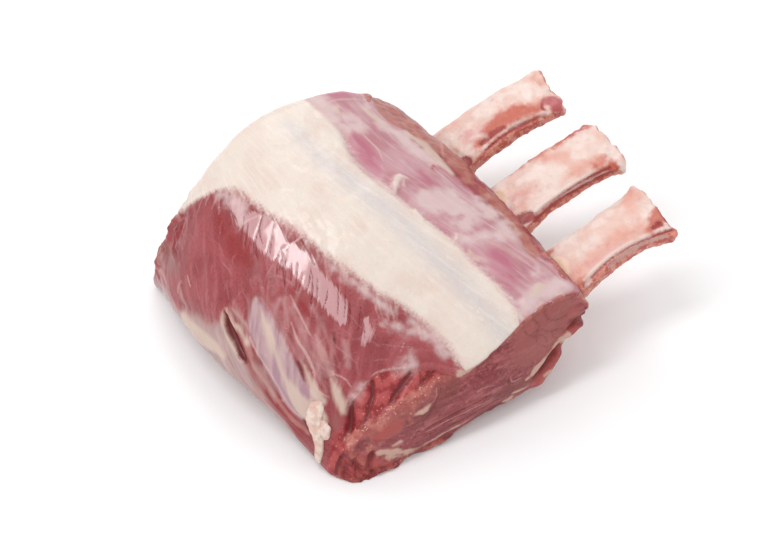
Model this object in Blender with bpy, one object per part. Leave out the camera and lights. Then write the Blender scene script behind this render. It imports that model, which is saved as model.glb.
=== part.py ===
"""Rack of lamb: a trimmed block of loin meat with three bare rib bones standing out of its rib side.

Row frame, in metres: +X runs from the chine side out along the ribs, +Y along the back from the near
cut face to the far one, and +Z up. The origin is the middle of the whole rack's underside.
Everything is modelled in block coordinates, with x = 0 above the chine edge and y = 0 at the near
face, and the rack is moved onto its origin at the end. Outlines are listed in millimetres.
"""

import math

import bmesh
import bpy
import numpy as np

MM = 0.001

# Meat block: a loft along Y through three closed outlines of (x, z). Each has the same twelve points:
# foot, heel, flank and shoulder up the chine side, left loin, crest and right loin over the back, then
# rib edge, rib wall and low wall down the rib side, and corner and keel under it.
BLOCK_LENGTH = 86 * MM
NEAR_OUTLINE = (
    (4.5, 0), (-1, 0.5), (1, 7.5), (9.5, 15), (25, 21), (42.5, 23),
    (60, 30.5), (73.5, 30), (76, 22.5), (66.5, 12.5), (60, 4.7), (42, 2.4),
)
MIDDLE_OUTLINE = (
    (6, 0), (-4.5, 4), (-11.5, 12.5), (-7.5, 23), (5, 35.5), (26, 44),
    (47, 43), (62, 38), (73, 31), (72.5, 16.5), (63, 5.5), (44, 0),
)
FAR_OUTLINE = (
    (4, 0), (-7, 0.5), (-7, 5), (-3.5, 17), (5.5, 33), (20, 47),
    (40.5, 47), (56, 42), (68, 30), (70, 16.5), (61, 5.5), (43, 0),
)
NEAR_CENTRE = np.array((43, 12)) * MM  # middle of the near cut face, where its rings close
FAR_CENTRE = np.array((32, 22)) * MM
NEAR_BELLY = 5 * MM  # how far the near face stands out past its chine corner
NEAR_CORNER = 14 * MM  # how quickly that corner rounds into the face
NEAR_LEAN = 0.15  # the near face leans back by this much for each unit of height
FAR_LEAN = -0.08
NEAR_RIM = 2 * MM  # rounding where the near cut face meets the sides
FAR_RIM = 4 * MM
NEAR_DOME = 2 * MM  # swell of each cut face at its middle
FAR_DOME = 3 * MM

OUTLINE_STEPS = 60  # mesh points round an outline
LENGTH_STEPS = 18  # rings from one rim to the other
RIM_STEPS = 3
FACE_STEPS = 4  # rings from a cut face's rim to its middle

# Ribs: flat oval bones on one arc each, rising out of the rib wall and levelling towards the tip.
RIB_PITCH = 26.8 * MM
FIRST_RIB_Y = 9.7 * MM
RIB_EXIT_X = 72 * MM
RIB_EXIT_Z = 21.5 * MM
RIB_EXIT_SLOPE = math.radians(35)
RIB_ARC_RADIUS = 63 * MM
RIB_THICKNESS = 7 * MM
RIB_OVAL = 2.6  # exponent of the oval: 2 is an ellipse, more is boxier
ROOT_LENGTH = 12 * MM  # how far a rib reaches into the meat
ROOT_TAPER = 0.72  # a rib's size at the end of its root, against its size at the wall
SOCKET_GAP = 0.3 * MM  # clearance all round a root
RIBS = {  # length past the wall, yaw in degrees, and width at the wall, middle and tip
    "rib_1": (33.7 * MM, -0.8, (20.5 * MM, 15.8 * MM, 20.0 * MM)),
    "rib_2": (36.6 * MM, -0.9, (19.5 * MM, 16.6 * MM, 18.7 * MM)),
    "rib_3": (35.3 * MM, -3.4, (18.9 * MM, 16.1 * MM, 17.1 * MM)),
}
RIB_SIDES = 16
RIB_STEPS = 12
TIP_ROUNDING = ((0.5 * MM, 0.97), (1.2 * MM, 0.86))  # extra length and size of a tip's last rings

MEAT_COLOUR = (0.50, 0.11, 0.12, 1)
BONE_COLOUR = (0.80, 0.58, 0.50, 1)


def clear_scene():
    for leftover in list(bpy.data.objects):
        bpy.data.objects.remove(leftover)


def material(name, colour, roughness):
    made = bpy.data.materials.new(name)
    made.use_nodes = True
    shader = made.node_tree.nodes["Principled BSDF"]
    shader.inputs["Base Color"].default_value = colour
    shader.inputs["Roughness"].default_value = roughness
    shader.inputs["Metallic"].default_value = 0
    return made


def closed_curve(points, steps):
    """Points along a smooth closed curve through the given ones (centripetal Catmull-Rom)."""
    count = len(points)
    at = np.linspace(0, count, steps, endpoint=False)
    index = np.floor(at).astype(int)
    t = (at - index)[:, None]
    p0, p1, p2, p3 = (points[(index + shift) % count] for shift in (-1, 0, 1, 2))
    d1, d2, d3 = (
        np.sqrt(np.linalg.norm(b - a, axis=1, keepdims=True)) for a, b in ((p0, p1), (p1, p2), (p2, p3))
    )
    slope1 = p2 - p1 + d2 * ((p1 - p0) / d1 - (p2 - p0) / (d1 + d2))
    slope2 = p2 - p1 + d2 * ((p3 - p2) / d3 - (p3 - p1) / (d2 + d3))
    return (
        (2 * t**3 - 3 * t**2 + 1) * p1
        + (t**3 - 2 * t**2 + t) * slope1
        + (3 * t**2 - 2 * t**3) * p2
        + (t**3 - t**2) * slope2
    )


def parabola(values, share):
    """The value at a share of the way along, where values holds those at the start, middle and end."""
    start, middle, end = values
    left = 1 - share
    return start * left * (left - share) + middle * 4 * share * left + end * share * (share - left)


def outline_at(share):
    """The block's outline (x, z) at a share of its length."""
    outlines = np.array((NEAR_OUTLINE, MIDDLE_OUTLINE, FAR_OUTLINE)) * MM
    curve = closed_curve(parabola(outlines, share), OUTLINE_STEPS)
    curve[:, 1] = np.maximum(curve[:, 1], 0)  # the underside lies flat on the table
    return curve


def block_ring(share, inset=0.0, size=1.0, dome=0.0):
    """One ring of the block: an outline drawn in by inset, scaled about its centre, and set in Y."""
    centre = NEAR_CENTRE * (1 - share) + FAR_CENTRE * share
    from_centre = outline_at(share) - centre
    reach = np.linalg.norm(from_centre, axis=1, keepdims=True)
    x, z = (centre + from_centre * (1 - inset / reach) * size).T
    near_y = -NEAR_BELLY * (1 - np.exp(-np.maximum(x, 0) / NEAR_CORNER)) + NEAR_LEAN * z
    far_y = BLOCK_LENGTH + FAR_LEAN * z
    y = near_y * (1 - share) + far_y * share + dome
    return np.stack([x, y, z], axis=1)


def block_rings():
    faces = [k / FACE_STEPS for k in range(1, FACE_STEPS)]
    rims = [k / RIM_STEPS * math.pi / 2 for k in range(RIM_STEPS + 1)]
    rings = [block_ring(0, NEAR_RIM, size, -NEAR_DOME * (1 - size**2)) for size in faces]
    for turn in rims:
        along = NEAR_RIM * (1 - math.cos(turn)) / BLOCK_LENGTH
        rings.append(block_ring(along, NEAR_RIM * (1 - math.sin(turn))))
    start, end = NEAR_RIM / BLOCK_LENGTH, 1 - FAR_RIM / BLOCK_LENGTH
    rings += [block_ring(start + (end - start) * k / LENGTH_STEPS) for k in range(1, LENGTH_STEPS)]
    for turn in reversed(rims):
        along = 1 - FAR_RIM * (1 - math.cos(turn)) / BLOCK_LENGTH
        rings.append(block_ring(along, FAR_RIM * (1 - math.sin(turn))))
    rings += [block_ring(1, FAR_RIM, size, FAR_DOME * (1 - size**2)) for size in reversed(faces)]
    return rings


def rib_rings(y, length, yaw, widths, gap):
    """Rings of a rib from the end of its root to its tip. A gap swells it into its socket's cutter."""
    turn = math.radians(yaw)
    along = np.array((math.cos(turn), math.sin(turn), 0))
    across = np.array((-math.sin(turn), math.cos(turn), 0))
    angles = np.linspace(0, 2 * math.pi, RIB_SIDES, endpoint=False)
    oval_x, oval_z = (
        np.sign(side) * np.abs(side) ** (2 / RIB_OVAL) for side in (np.cos(angles), np.sin(angles))
    )
    runs = [(run, 1.0) for run in np.linspace(-ROOT_LENGTH - gap, length, RIB_STEPS + 1)]
    runs += [(length + extra, size) for extra, size in TIP_ROUNDING]
    rings = []
    for run, size in runs:
        slope = RIB_EXIT_SLOPE - max(run, 0) / RIB_ARC_RADIUS
        out = RIB_ARC_RADIUS * (math.sin(RIB_EXIT_SLOPE) - math.sin(slope))
        out += min(run, 0) * math.cos(RIB_EXIT_SLOPE)
        rise = RIB_ARC_RADIUS * (math.cos(slope) - math.cos(RIB_EXIT_SLOPE))
        rise += min(run, 0) * math.sin(RIB_EXIT_SLOPE)
        share = min(max(run / length, 0), 1)
        width = parabola(widths, share)
        size *= 1 + (1 - ROOT_TAPER) * min(run, 0) / ROOT_LENGTH
        centre = np.array((RIB_EXIT_X, y, RIB_EXIT_Z)) + out * along + np.array((0, 0, rise))
        up = np.array((0, 0, math.cos(slope))) - math.sin(slope) * along
        rings.append(
            centre
            + np.outer(oval_x * (width * size / 2 + gap), across)
            + np.outer(oval_z * (RIB_THICKNESS * size / 2 + gap), up)
        )
    return rings


def loft(name, rings, look=None):
    """A closed mesh object: a skin over the rings, with a fan over each end."""
    mesh = bmesh.new()
    skin = [[mesh.verts.new(point) for point in ring] for ring in rings]
    sides = len(skin[0])
    for near, far in zip(skin, skin[1:]):
        for k in range(sides):
            mesh.faces.new((near[k], near[(k + 1) % sides], far[(k + 1) % sides], far[k]))
    for ring in (skin[0], skin[-1]):
        middle = mesh.verts.new(np.mean([corner.co for corner in ring], axis=0))
        for k in range(sides):
            mesh.faces.new((ring[k], ring[(k + 1) % sides], middle))
    bmesh.ops.recalc_face_normals(mesh, faces=mesh.faces)
    data = bpy.data.meshes.new(name)
    mesh.to_mesh(data)
    mesh.free()
    data.shade_smooth()
    made = bpy.data.objects.new(name, data)
    bpy.context.scene.collection.objects.link(made)
    if look:
        data.materials.append(look)
    return made


def cut_socket(meat, cutter):
    cutter.hide_render = True
    cutter.display_type = "WIRE"
    cut = meat.modifiers.new("socket", "BOOLEAN")
    cut.operation = "DIFFERENCE"
    cut.object = cutter


def stand_on_origin(pieces, cutters):
    """Parents everything to one empty, placed so that the pieces' box stands centred on the origin."""
    corners = np.array([vertex.co for piece in pieces for vertex in piece.data.vertices])
    low, high = corners.min(axis=0), corners.max(axis=0)
    rack = bpy.data.objects.new("rack", None)
    bpy.context.scene.collection.objects.link(rack)
    rack.location = (-(low[0] + high[0]) / 2, -(low[1] + high[1]) / 2, -low[2])
    for piece in pieces + cutters:
        piece.parent = rack


def main():
    clear_scene()
    meat = loft("meat", block_rings(), material("meat", MEAT_COLOUR, 0.4))
    bone = material("bone", BONE_COLOUR, 0.5)
    ribs, cutters = [], []
    for number, (name, (length, yaw, widths)) in enumerate(RIBS.items()):
        y = FIRST_RIB_Y + number * RIB_PITCH
        ribs.append(loft(name, rib_rings(y, length, yaw, widths, 0), bone))
        cutters.append(loft(name + "_socket", rib_rings(y, length, yaw, widths, SOCKET_GAP)))
        cut_socket(meat, cutters[-1])
    stand_on_origin([meat] + ribs, cutters)


main()
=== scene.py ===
import math
from functools import partial

import bpy
import numpy as np
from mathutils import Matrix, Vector


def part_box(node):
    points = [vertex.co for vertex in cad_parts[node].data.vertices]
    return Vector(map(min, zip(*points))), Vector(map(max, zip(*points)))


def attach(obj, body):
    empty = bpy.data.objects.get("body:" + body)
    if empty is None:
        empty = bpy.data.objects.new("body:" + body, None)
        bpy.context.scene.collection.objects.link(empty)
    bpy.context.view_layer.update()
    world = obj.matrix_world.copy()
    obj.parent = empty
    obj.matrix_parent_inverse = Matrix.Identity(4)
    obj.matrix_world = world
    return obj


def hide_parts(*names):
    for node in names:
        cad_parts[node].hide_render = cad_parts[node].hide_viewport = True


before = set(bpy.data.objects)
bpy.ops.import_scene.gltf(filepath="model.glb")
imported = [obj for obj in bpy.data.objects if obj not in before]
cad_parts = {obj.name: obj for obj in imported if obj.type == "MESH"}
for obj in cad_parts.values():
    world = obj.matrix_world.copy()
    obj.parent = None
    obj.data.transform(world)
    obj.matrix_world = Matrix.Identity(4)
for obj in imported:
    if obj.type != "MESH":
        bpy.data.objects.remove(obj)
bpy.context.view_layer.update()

# The looks of a raw rack of lamb. Block coordinates are in millimetres: x runs from the chine side to
# the rib side, y from the near cut face to the far one, and z up, as in the solids they stand for.
MM = 0.001
SEED = 7

# ---------------------------------------------------------------- the block's shape, as in the solid
BLOCK_LENGTH = 86.0
NEAR_OUTLINE = (
    (4.5, 0), (-1, 0.5), (1, 7.5), (9.5, 15), (25, 21), (42.5, 23),
    (60, 30.5), (73.5, 30), (76, 22.5), (66.5, 12.5), (60, 4.7), (42, 2.4),
)
MIDDLE_OUTLINE = (
    (6, 0), (-4.5, 4), (-11.5, 12.5), (-7.5, 23), (5, 35.5), (26, 44),
    (47, 43), (62, 38), (73, 31), (72.5, 16.5), (63, 5.5), (44, 0),
)
FAR_OUTLINE = (
    (4, 0), (-7, 0.5), (-7, 5), (-3.5, 17), (5.5, 33), (20, 47),
    (40.5, 47), (56, 42), (68, 30), (70, 16.5), (61, 5.5), (43, 0),
)
OUTLINES = np.array((NEAR_OUTLINE, MIDDLE_OUTLINE, FAR_OUTLINE), float)
OUTLINE_POINTS = len(NEAR_OUTLINE)
NEAR_CENTRE = np.array((43.0, 12.0))
FAR_CENTRE = np.array((32.0, 22.0))
NEAR_BELLY, NEAR_CORNER, NEAR_LEAN, FAR_LEAN = 5.0, 14.0, 0.15, -0.08
NEAR_RIM, FAR_RIM = 2.0, 4.0
NEAR_DOME, FAR_DOME = 2.0, 3.0

# ---------------------------------------------------------------- the ribs' shape, as in the solids
RIB_PITCH, FIRST_RIB_Y = 26.8, 9.7
RIB_EXIT_X, RIB_EXIT_Z, RIB_EXIT_SLOPE = 72.0, 21.5, math.radians(35)
RIB_ARC_RADIUS, RIB_THICKNESS, RIB_OVAL = 63.0, 7.0, 2.6
RIBS = {
    "rib_1": (33.7, -0.8, (20.5, 15.8, 20.0)),
    "rib_2": (36.6, -0.9, (19.5, 16.6, 18.7)),
    "rib_3": (35.3, -3.4, (18.9, 16.1, 17.1)),
}

# ---------------------------------------------------------------- how fine the meshes are
AROUND_STEPS = 400
SIDE_STEPS = 160
RIM_STEPS = 5
NEAR_FACE_STEPS = 48
FAR_FACE_STEPS = 26


# ================================================================ numbers
def smooth(low, high, value):
    """0 below low, 1 above high, and a soft step between."""
    t = np.clip((value - low) / (high - low), 0, 1)
    return t * t * (3 - 2 * t)


def linear(red, green, blue):
    """A colour given as 0 to 255 screen values, as the shader wants it."""
    share = np.array((red, green, blue)) / 255
    return tuple(np.where(share < 0.04045, share / 12.92, ((share + 0.055) / 1.055) ** 2.4)) + (1.0,)


def noise(points, size, seed=0):
    """Gradient noise, about -1 to 1, with features of a size given in the points' own unit."""
    at = np.asarray(points) / size + 17.3 * (seed + 1)
    cell = np.floor(at).astype(np.int64)
    inside = at - cell
    ease = inside**3 * (inside * (inside * 6 - 15) + 10)
    total = np.zeros(len(at))
    # each corner of the cell gets a slope of its own, from its whole-number place mixed up by large primes
    for corner in np.ndindex(2, 2, 2):
        key = ((cell + corner) * (73856093, 19349663, 83492791)).sum(axis=1) ^ (seed * 2654435761 + 97)
        key = (key ^ (key >> 13)) * 1274126177 & 0x7FFFFFFF
        key = key ^ (key >> 11)
        slope = np.stack([(key >> shift & 255) / 127.5 - 1 for shift in (0, 8, 16)], axis=1)
        weight = np.prod(np.where(corner, ease, 1 - ease), axis=1)
        total += weight * ((inside - corner) * slope).sum(axis=1)
    return total * 1.4


def hermite(t, start, end, leaving, arriving):
    """A smooth run from start to end as t goes from 0 to 1, with the slopes it leaves and arrives at."""
    return (
        (2 * t**3 - 3 * t**2 + 1) * start
        + (t**3 - 2 * t**2 + t) * leaving
        + (3 * t**2 - 2 * t**3) * end
        + (t**3 - t**2) * arriving
    )


def through(knots, at):
    """A smooth line through knots of (place, value, value...), read at the given places."""
    knots = np.asarray(knots, float)
    places, values = knots[:, 0], knots[:, 1:]
    index = np.clip(np.searchsorted(places, at) - 1, 0, len(places) - 2)
    span = (places[index + 1] - places[index])[..., None]
    t = np.clip((np.asarray(at) - places[index])[..., None] / span, 0, 1)
    slopes = np.gradient(values, places, axis=0)
    result = hermite(t, values[index], values[index + 1], slopes[index] * span, slopes[index + 1] * span)
    return result[..., 0] if values.shape[1] == 1 else result


def parabola(values, share):
    """The value at a share of the way along, where values holds those at the start, middle and end."""
    start, middle, end = values
    left = 1 - share
    return start * left * (left - share) + middle * 4 * share * left + end * share * (share - left)


# ================================================================ the block's surface
def outline(around, share):
    """Points (x, z) of the block's outline: around counts its named points from 0, share is along Y."""
    around, share = np.broadcast_arrays(np.asarray(around, float), np.asarray(share, float))
    points = parabola(OUTLINES, share[..., None, None])
    index = np.floor(around).astype(int)
    t = (around - index)[..., None]
    p0, p1, p2, p3 = (
        np.take_along_axis(points, (index + shift)[..., None, None] % OUTLINE_POINTS, axis=-2)[..., 0, :]
        for shift in (-1, 0, 1, 2)
    )
    d1, d2, d3 = (
        np.sqrt(np.linalg.norm(b - a, axis=-1, keepdims=True)) for a, b in ((p0, p1), (p1, p2), (p2, p3))
    )
    slope1 = p2 - p1 + d2 * ((p1 - p0) / d1 - (p2 - p0) / (d1 + d2))
    slope2 = p2 - p1 + d2 * ((p3 - p2) / d3 - (p3 - p1) / (d2 + d3))
    curve = hermite(t, p1, p2, slope1, slope2)
    curve[..., 1] = np.maximum(curve[..., 1], 0)
    return curve


def near_face_y(x, z):
    """How far along Y the near face lies: it leans with height and bellies out away from the chine."""
    return -NEAR_BELLY * (1 - np.exp(-np.maximum(x, 0) / NEAR_CORNER)) + NEAR_LEAN * z


def block_point(around, share, inset=0.0, size=1.0, dome=0.0):
    """Points of the block's surface: an outline drawn in, scaled about its centre, and set in Y."""
    share, inset, size = (np.asarray(value, float)[..., None] for value in (share, inset, size))
    centre = NEAR_CENTRE * (1 - share) + FAR_CENTRE * share
    from_centre = outline(around, share[..., 0]) - centre
    reach = np.linalg.norm(from_centre, axis=-1, keepdims=True)
    flat = centre + from_centre * (1 - inset / reach) * size
    x, z = flat[..., 0], flat[..., 1]
    share = share[..., 0]
    y = near_face_y(x, z) * (1 - share) + (BLOCK_LENGTH + FAR_LEAN * z) * share + dome
    return np.stack(np.broadcast_arrays(x, y, z), axis=-1)


def block_rings():
    """(share, inset, size, dome) of every ring, from the middle of the near face to that of the far one."""
    rings = []
    for size in np.linspace(0, 1, NEAR_FACE_STEPS + 1)[1:-1]:
        rings.append((0, NEAR_RIM, size, -NEAR_DOME * (1 - size**2)))
    turns = np.linspace(0, math.pi / 2, RIM_STEPS + 1)
    for turn in turns:
        back, inset = 1 - math.cos(turn), 1 - math.sin(turn)
        rings.append((NEAR_RIM * back / BLOCK_LENGTH, NEAR_RIM * inset, 1, 0))
    for share in np.linspace(NEAR_RIM / BLOCK_LENGTH, 1 - FAR_RIM / BLOCK_LENGTH, SIDE_STEPS + 1)[1:-1]:
        rings.append((share, 0, 1, 0))
    for turn in turns[::-1]:
        back, inset = 1 - math.cos(turn), 1 - math.sin(turn)
        rings.append((1 - FAR_RIM * back / BLOCK_LENGTH, FAR_RIM * inset, 1, 0))
    for size in np.linspace(1, 0, FAR_FACE_STEPS + 1)[1:-1]:
        rings.append((1, FAR_RIM, size, FAR_DOME * (1 - size**2)))
    return np.array(rings)


# Outline places that get most of the mesh's points: from the chine side's heel over to the rib wall.
FINE_FROM, FINE_TO, FINE_SHARE = 0.9, 9.2, 0.80


def around_places():
    """Places round the outline, closest together over the sides that show."""
    fine = int(AROUND_STEPS * FINE_SHARE)
    shown = np.linspace(FINE_FROM, FINE_TO, fine, endpoint=False)
    under = np.linspace(FINE_TO, FINE_FROM + OUTLINE_POINTS, AROUND_STEPS - fine, endpoint=False)
    # equal steps in millimetres rather than in outline points
    place = np.concatenate([shown, under])
    xz = outline(place, 0.5)
    step = np.linalg.norm(np.roll(xz, -1, axis=0) - xz, axis=1)
    for part in (slice(0, fine), slice(fine, AROUND_STEPS)):
        run = np.concatenate([[0], np.cumsum(step[part])])
        ends = np.append(place[part], place[part][-1] * 2 - place[part][-2])
        place[part] = np.interp(np.linspace(0, run[-1], len(place[part]), endpoint=False), run, ends)
    return place % OUTLINE_POINTS


class Sheet:
    """A closed skin of rings, with its points' normals."""

    def __init__(self, points):
        self.points = points

    def flat(self):
        return self.points.reshape(-1, 3)

    def normals(self):
        along = np.gradient(self.points, axis=0)
        across = np.roll(self.points, -1, axis=1) - np.roll(self.points, 1, axis=1)
        normal = np.cross(across, along)
        return normal / np.maximum(np.linalg.norm(normal, axis=-1, keepdims=True), 1e-9)


OUTSIDE = -50.0  # the depth of a point that is far from every mark, in mm
DEEPEST = 10.0  # depths are kept within this either way, in mm
MARK_MARGIN = 4.0  # how far round a mark its depth is worked out, in mm
PLACE_LENGTH = 12.0  # the least length of the outline from one of its places to the next, in mm


def capsule_depth(points, path, radii):
    """How far inside a chain of round-ended strokes each point lies, in millimetres; negative outside."""
    depth = np.full(len(points), OUTSIDE)
    for a, b, ra, rb in zip(path, path[1:], radii, radii[1:]):
        line = b - a
        t = np.clip((points - a) @ line / max(line @ line, 1e-9), 0, 1)
        away = np.linalg.norm(points - a - t[:, None] * line, axis=1)
        depth = np.maximum(depth, ra + (rb - ra) * t - away)
    return depth


def smooth_path(knots, steps=6):
    """Knots of (place, place, radius) with smooth points put in between."""
    knots = np.asarray(knots, float)
    if len(knots) < 3:
        return knots
    last = len(knots) - 1
    return through(np.column_stack([np.arange(last + 1), knots]), np.linspace(0, last, steps * last + 1))


# ================================================================ the block's marks
# Each mark is a chain of round-ended strokes. On the sides a knot is (place round the outline, share of
# the length, radius in mm); on a cut face it is (x, z, radius), all in mm.
SILVER_LEFT = (  # (share, place): the silverskin's edge on the chine side
    (0, 4.68), (0.05, 4.79), (0.17, 4.8), (0.25, 4.72), (0.35, 4.66), (0.45, 4.62), (0.57, 4.6),
    (0.66, 4.52), (0.72, 4.49), (0.8, 4.44), (0.86, 4.28), (0.9, 4.06), (0.93, 3.86), (0.96, 3.62),
    (1, 3.4),
)
SILVER_RIGHT = (  # (share, place): the silverskin's edge on the rib side
    (0, 5.72), (0.05, 5.81), (0.1, 5.85), (0.2, 5.9), (0.3, 5.93), (0.37, 5.9), (0.45, 5.86),
    (0.52, 5.82), (0.65, 5.8), (0.7, 5.82), (0.74, 5.88), (0.78, 5.96), (0.85, 5.97), (1, 5.95),
)
PALE_EDGE = (  # (share, place): below it the chine side is covered by a cloudy membrane
    (0, 0.2), (0.12, 1.2), (0.18, 1.75), (0.22, 1.92), (0.27, 2.2), (0.32, 2.42), (0.36, 2.6),
    (0.4, 2.72), (0.44, 2.82), (0.48, 2.9), (0.505, 2.96), (0.53, 2.86), (0.56, 2.72), (0.62, 2.62),
    (0.66, 2.5), (0.72, 2.3), (0.78, 2.22), (0.82, 2.32), (0.86, 2.2), (0.92, 2), (1, 1.6),
)
CAP_LEFT, CAP_RIGHT = 5.7, 7.2  # the pink cap muscle lies between these places
RIB_SIDE, UNDER_SIDE = 8.2, 9.8  # the rib wall ends and the underside starts at these places
CHINE_SIDE = 5  # the chine side, with its red loin, lies below this place
TORN_EDGE = (  # (place, share): where the loin's film is torn away above the near face
    (0, 0.03), (2.4, 0.035), (2.9, 0.05), (3.15, 0.068), (3.4, 0.075), (3.6, 0.085), (3.85, 0.087),
    (4.1, 0.062), (4.25, 0.042), (4.35, 0.025), (4.5, -0.01), (5, -0.05),
)
FIBRE_SLANT = (  # (place, degrees) by which the fibres slant off the block's length
    (0, 10), (1.5, 30), (2.6, 42), (3.6, 36), (4.3, 26), (5, 2), (7, -4), (12, 0),
)
GRAIN_START = 5.0  # the place from which the way across the fibres is measured

MEMBRANE_MARKS = (
    (
        (2.45, 0.1, 3), (2.58, 0.13, 4), (2.72, 0.19, 4.3), (2.95, 0.25, 4.4), (3.15, 0.31, 4.1),
        (3.35, 0.38, 3.6), (3.5, 0.42, 2.4), (3.62, 0.45, 0.8),
    ),
)
CREAM_MARKS = (
    (
        (2.52, 0.09, 2.2), (2.55, 0.14, 2.5), (2.68, 0.19, 1.6), (2.85, 0.23, 0.7), (3, 0.265, 0.4),
        (3.12, 0.29, 0.6), (3.28, 0.33, 1), (3.4, 0.37, 0.9), (3.5, 0.4, 0.5), (3.58, 0.43, 0.2),
    ),
    ((2.9, 0.12, 1.4), (3.02, 0.16, 1.2), (3.15, 0.19, 0.7), (3.25, 0.215, 0.3)),
    ((2.97, 0.065, 0.8), (3.08, 0.085, 1.3), (3.2, 0.115, 1.2), (3.32, 0.145, 0.4)),
    ((2.62, 0.38, 0.8), (2.75, 0.425, 1.3), (2.88, 0.47, 1.2), (3, 0.505, 0.8), (3.12, 0.52, 0.3)),
    (
        (2.98, 0.395, 0.8), (3.05, 0.42, 0.7), (3.1, 0.445, 0.8), (3.1, 0.465, 0.4), (3.15, 0.49, 0.5),
        (3.22, 0.515, 0.2),
    ),
    ((2.34, 0.45, 1), (2.35, 0.5, 1.8), (2.2, 0.58, 2.6), (2.1, 0.68, 2.4)),
    ((6.15, 0.035, 0.6), (6.3, 0.045, 1.1), (6.4, 0.05, 0.6)),
    ((6, 0.205, 0.3), (5.98, 0.22, 0.4), (6.01, 0.24, 0.3)),
    ((7.18, 0.55, 0.8), (7.2, 0.6, 1.2), (7.27, 0.66, 1.5), (7.28, 0.71, 1.4), (7.18, 0.76, 1.1)),
    ((6.88, 0.81, 0.7), (6.8, 0.85, 1.2), (6.74, 0.89, 0.5)),
    ((6.22, 0.885, 0.4), (6.28, 0.91, 0.7)),
)
KNOB_MARKS = (  # whitish scraps of fat
    ((5.88, 0.515, 0.4), (6, 0.545, 1), (6.14, 0.562, 0.9), (6.23, 0.55, 0.4)),
    ((6.08, 0.53, 0.4), (6.15, 0.545, 0.6)),
    ((6, 0.29, 0.4), (6.06, 0.303, 0.6)),
    ((5.86, 0.39, 0.3), (5.89, 0.43, 0.5)),
)
PINK_MARKS = (  # pinkish strips of film
    ((3.35, 0.135, 0.3), (3.48, 0.18, 0.9), (3.62, 0.225, 1), (3.74, 0.262, 0.3)),
    (
        (2.05, 0.1, 0.4), (2.08, 0.15, 0.6), (2.2, 0.195, 0.45), (2.32, 0.225, 0.45), (2.45, 0.265, 0.35),
        (2.55, 0.3, 0.4), (2.62, 0.33, 0.45), (2.72, 0.35, 0.5), (2.85, 0.37, 0.8), (2.98, 0.395, 0.9),
    ),
    ((2.3, 0.215, 0.35), (2.42, 0.205, 0.45), (2.5, 0.197, 0.3)),
    ((3.18, 0.41, 0.3), (3.24, 0.44, 0.4), (3.27, 0.48, 0.3), (3.28, 0.51, 0.2)),
    ((2.62, 0.752, 0.3), (2.72, 0.757, 0.5), (2.85, 0.755, 0.4), (2.9, 0.745, 0.2)),
    ((2.45, 0.83, 0.3), (2.48, 0.88, 0.5), (2.4, 0.93, 0.4)),
    ((7.35, 0.62, 0.3), (7.5, 0.655, 0.4), (7.7, 0.7, 0.5), (7.85, 0.735, 0.6), (8.1, 0.77, 0.5)),
    ((7.4, 0.44, 0.3), (7.5, 0.43, 0.5), (7.55, 0.45, 0.3)),
    ((6.55, 0.12, 0.3), (6.53, 0.16, 0.45), (6.48, 0.21, 0.5), (6.42, 0.255, 0.4)),
    ((6.86, 0.08, 0.4), (6.84, 0.14, 0.5), (6.82, 0.2, 0.5), (6.79, 0.26, 0.4)),
)
LIP_MARKS = (  # thin pale lines: edges of films and single fibres
    ((3.05, 0.115, 0.15), (3.03, 0.135, 0.2), (3.06, 0.155, 0.15)),
    (
        (3.1, 0.165, 0.2), (3.25, 0.185, 0.3), (3.35, 0.21, 0.4), (3.45, 0.245, 0.4), (3.52, 0.28, 0.35),
        (3.68, 0.33, 0.2),
    ),
    ((3.4, 0.1, 0.15), (3.45, 0.125, 0.2), (3.42, 0.15, 0.2), (3.35, 0.155, 0.15)),
    ((3.7, 0.27, 0.2), (3.8, 0.315, 0.25), (3.88, 0.35, 0.3), (3.98, 0.395, 0.2)),
    (
        (2.28, 0.13, 0.2), (2.3, 0.165, 0.25), (2.45, 0.205, 0.25), (2.6, 0.24, 0.25), (2.78, 0.29, 0.3),
        (3.1, 0.395, 0.3),
    ),
    ((4.45, 0.2, 0.1), (4.55, 0.235, 0.12), (4.68, 0.275, 0.1)),
    ((4.25, 0.1, 0.12), (4.42, 0.118, 0.15)),
    ((4.3, 0.522, 0.2), (4.42, 0.518, 0.3), (4.6, 0.515, 0.2)),
    ((4.15, 0.675, 0.2), (4.25, 0.682, 0.25), (4.4, 0.668, 0.25), (4.5, 0.65, 0.2)),
    ((3, 0.7, 0.2), (3.05, 0.72, 0.3), (3.1, 0.735, 0.2)),
    ((6, 0.92, 0.2), (6.3, 0.94, 0.3), (6.7, 0.935, 0.25), (6.95, 0.93, 0.2)),
    ((6.2, 0.65, 0.15), (6.3, 0.7, 0.3), (6.3, 0.75, 0.3), (6.3, 0.8, 0.2)),
)
TORN_LIP = (  # the pale torn edge itself
    (
        (2.92, 0.055, 0.1), (3.15, 0.071, 0.15), (3.4, 0.078, 0.25), (3.6, 0.088, 0.1), (3.85, 0.09, 0.3),
        (4.12, 0.064, 0.25),
    ),
)
TEAR_MARKS = (  # folds in the raw flesh below the torn edge, also painted dark as shade in the folds
    ((2.45, 0.012, 0.3), (2.75, 0.03, 0.7), (3, 0.052, 0.7), (3.2, 0.07, 0.3)),
    ((3.5, 0.012, 0.3), (3.8, 0.03, 0.8), (4.1, 0.046, 0.5)),
    ((3.25, 0.035, 0.2), (3.48, 0.055, 0.5), (3.66, 0.082, 0.3)),
    ((2.85, 0.005, 0.2), (3.1, 0.02, 0.4), (3.3, 0.04, 0.3)),
    ((4, 0.005, 0.2), (4.2, 0.018, 0.4), (4.35, 0.022, 0.2)),
)
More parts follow.
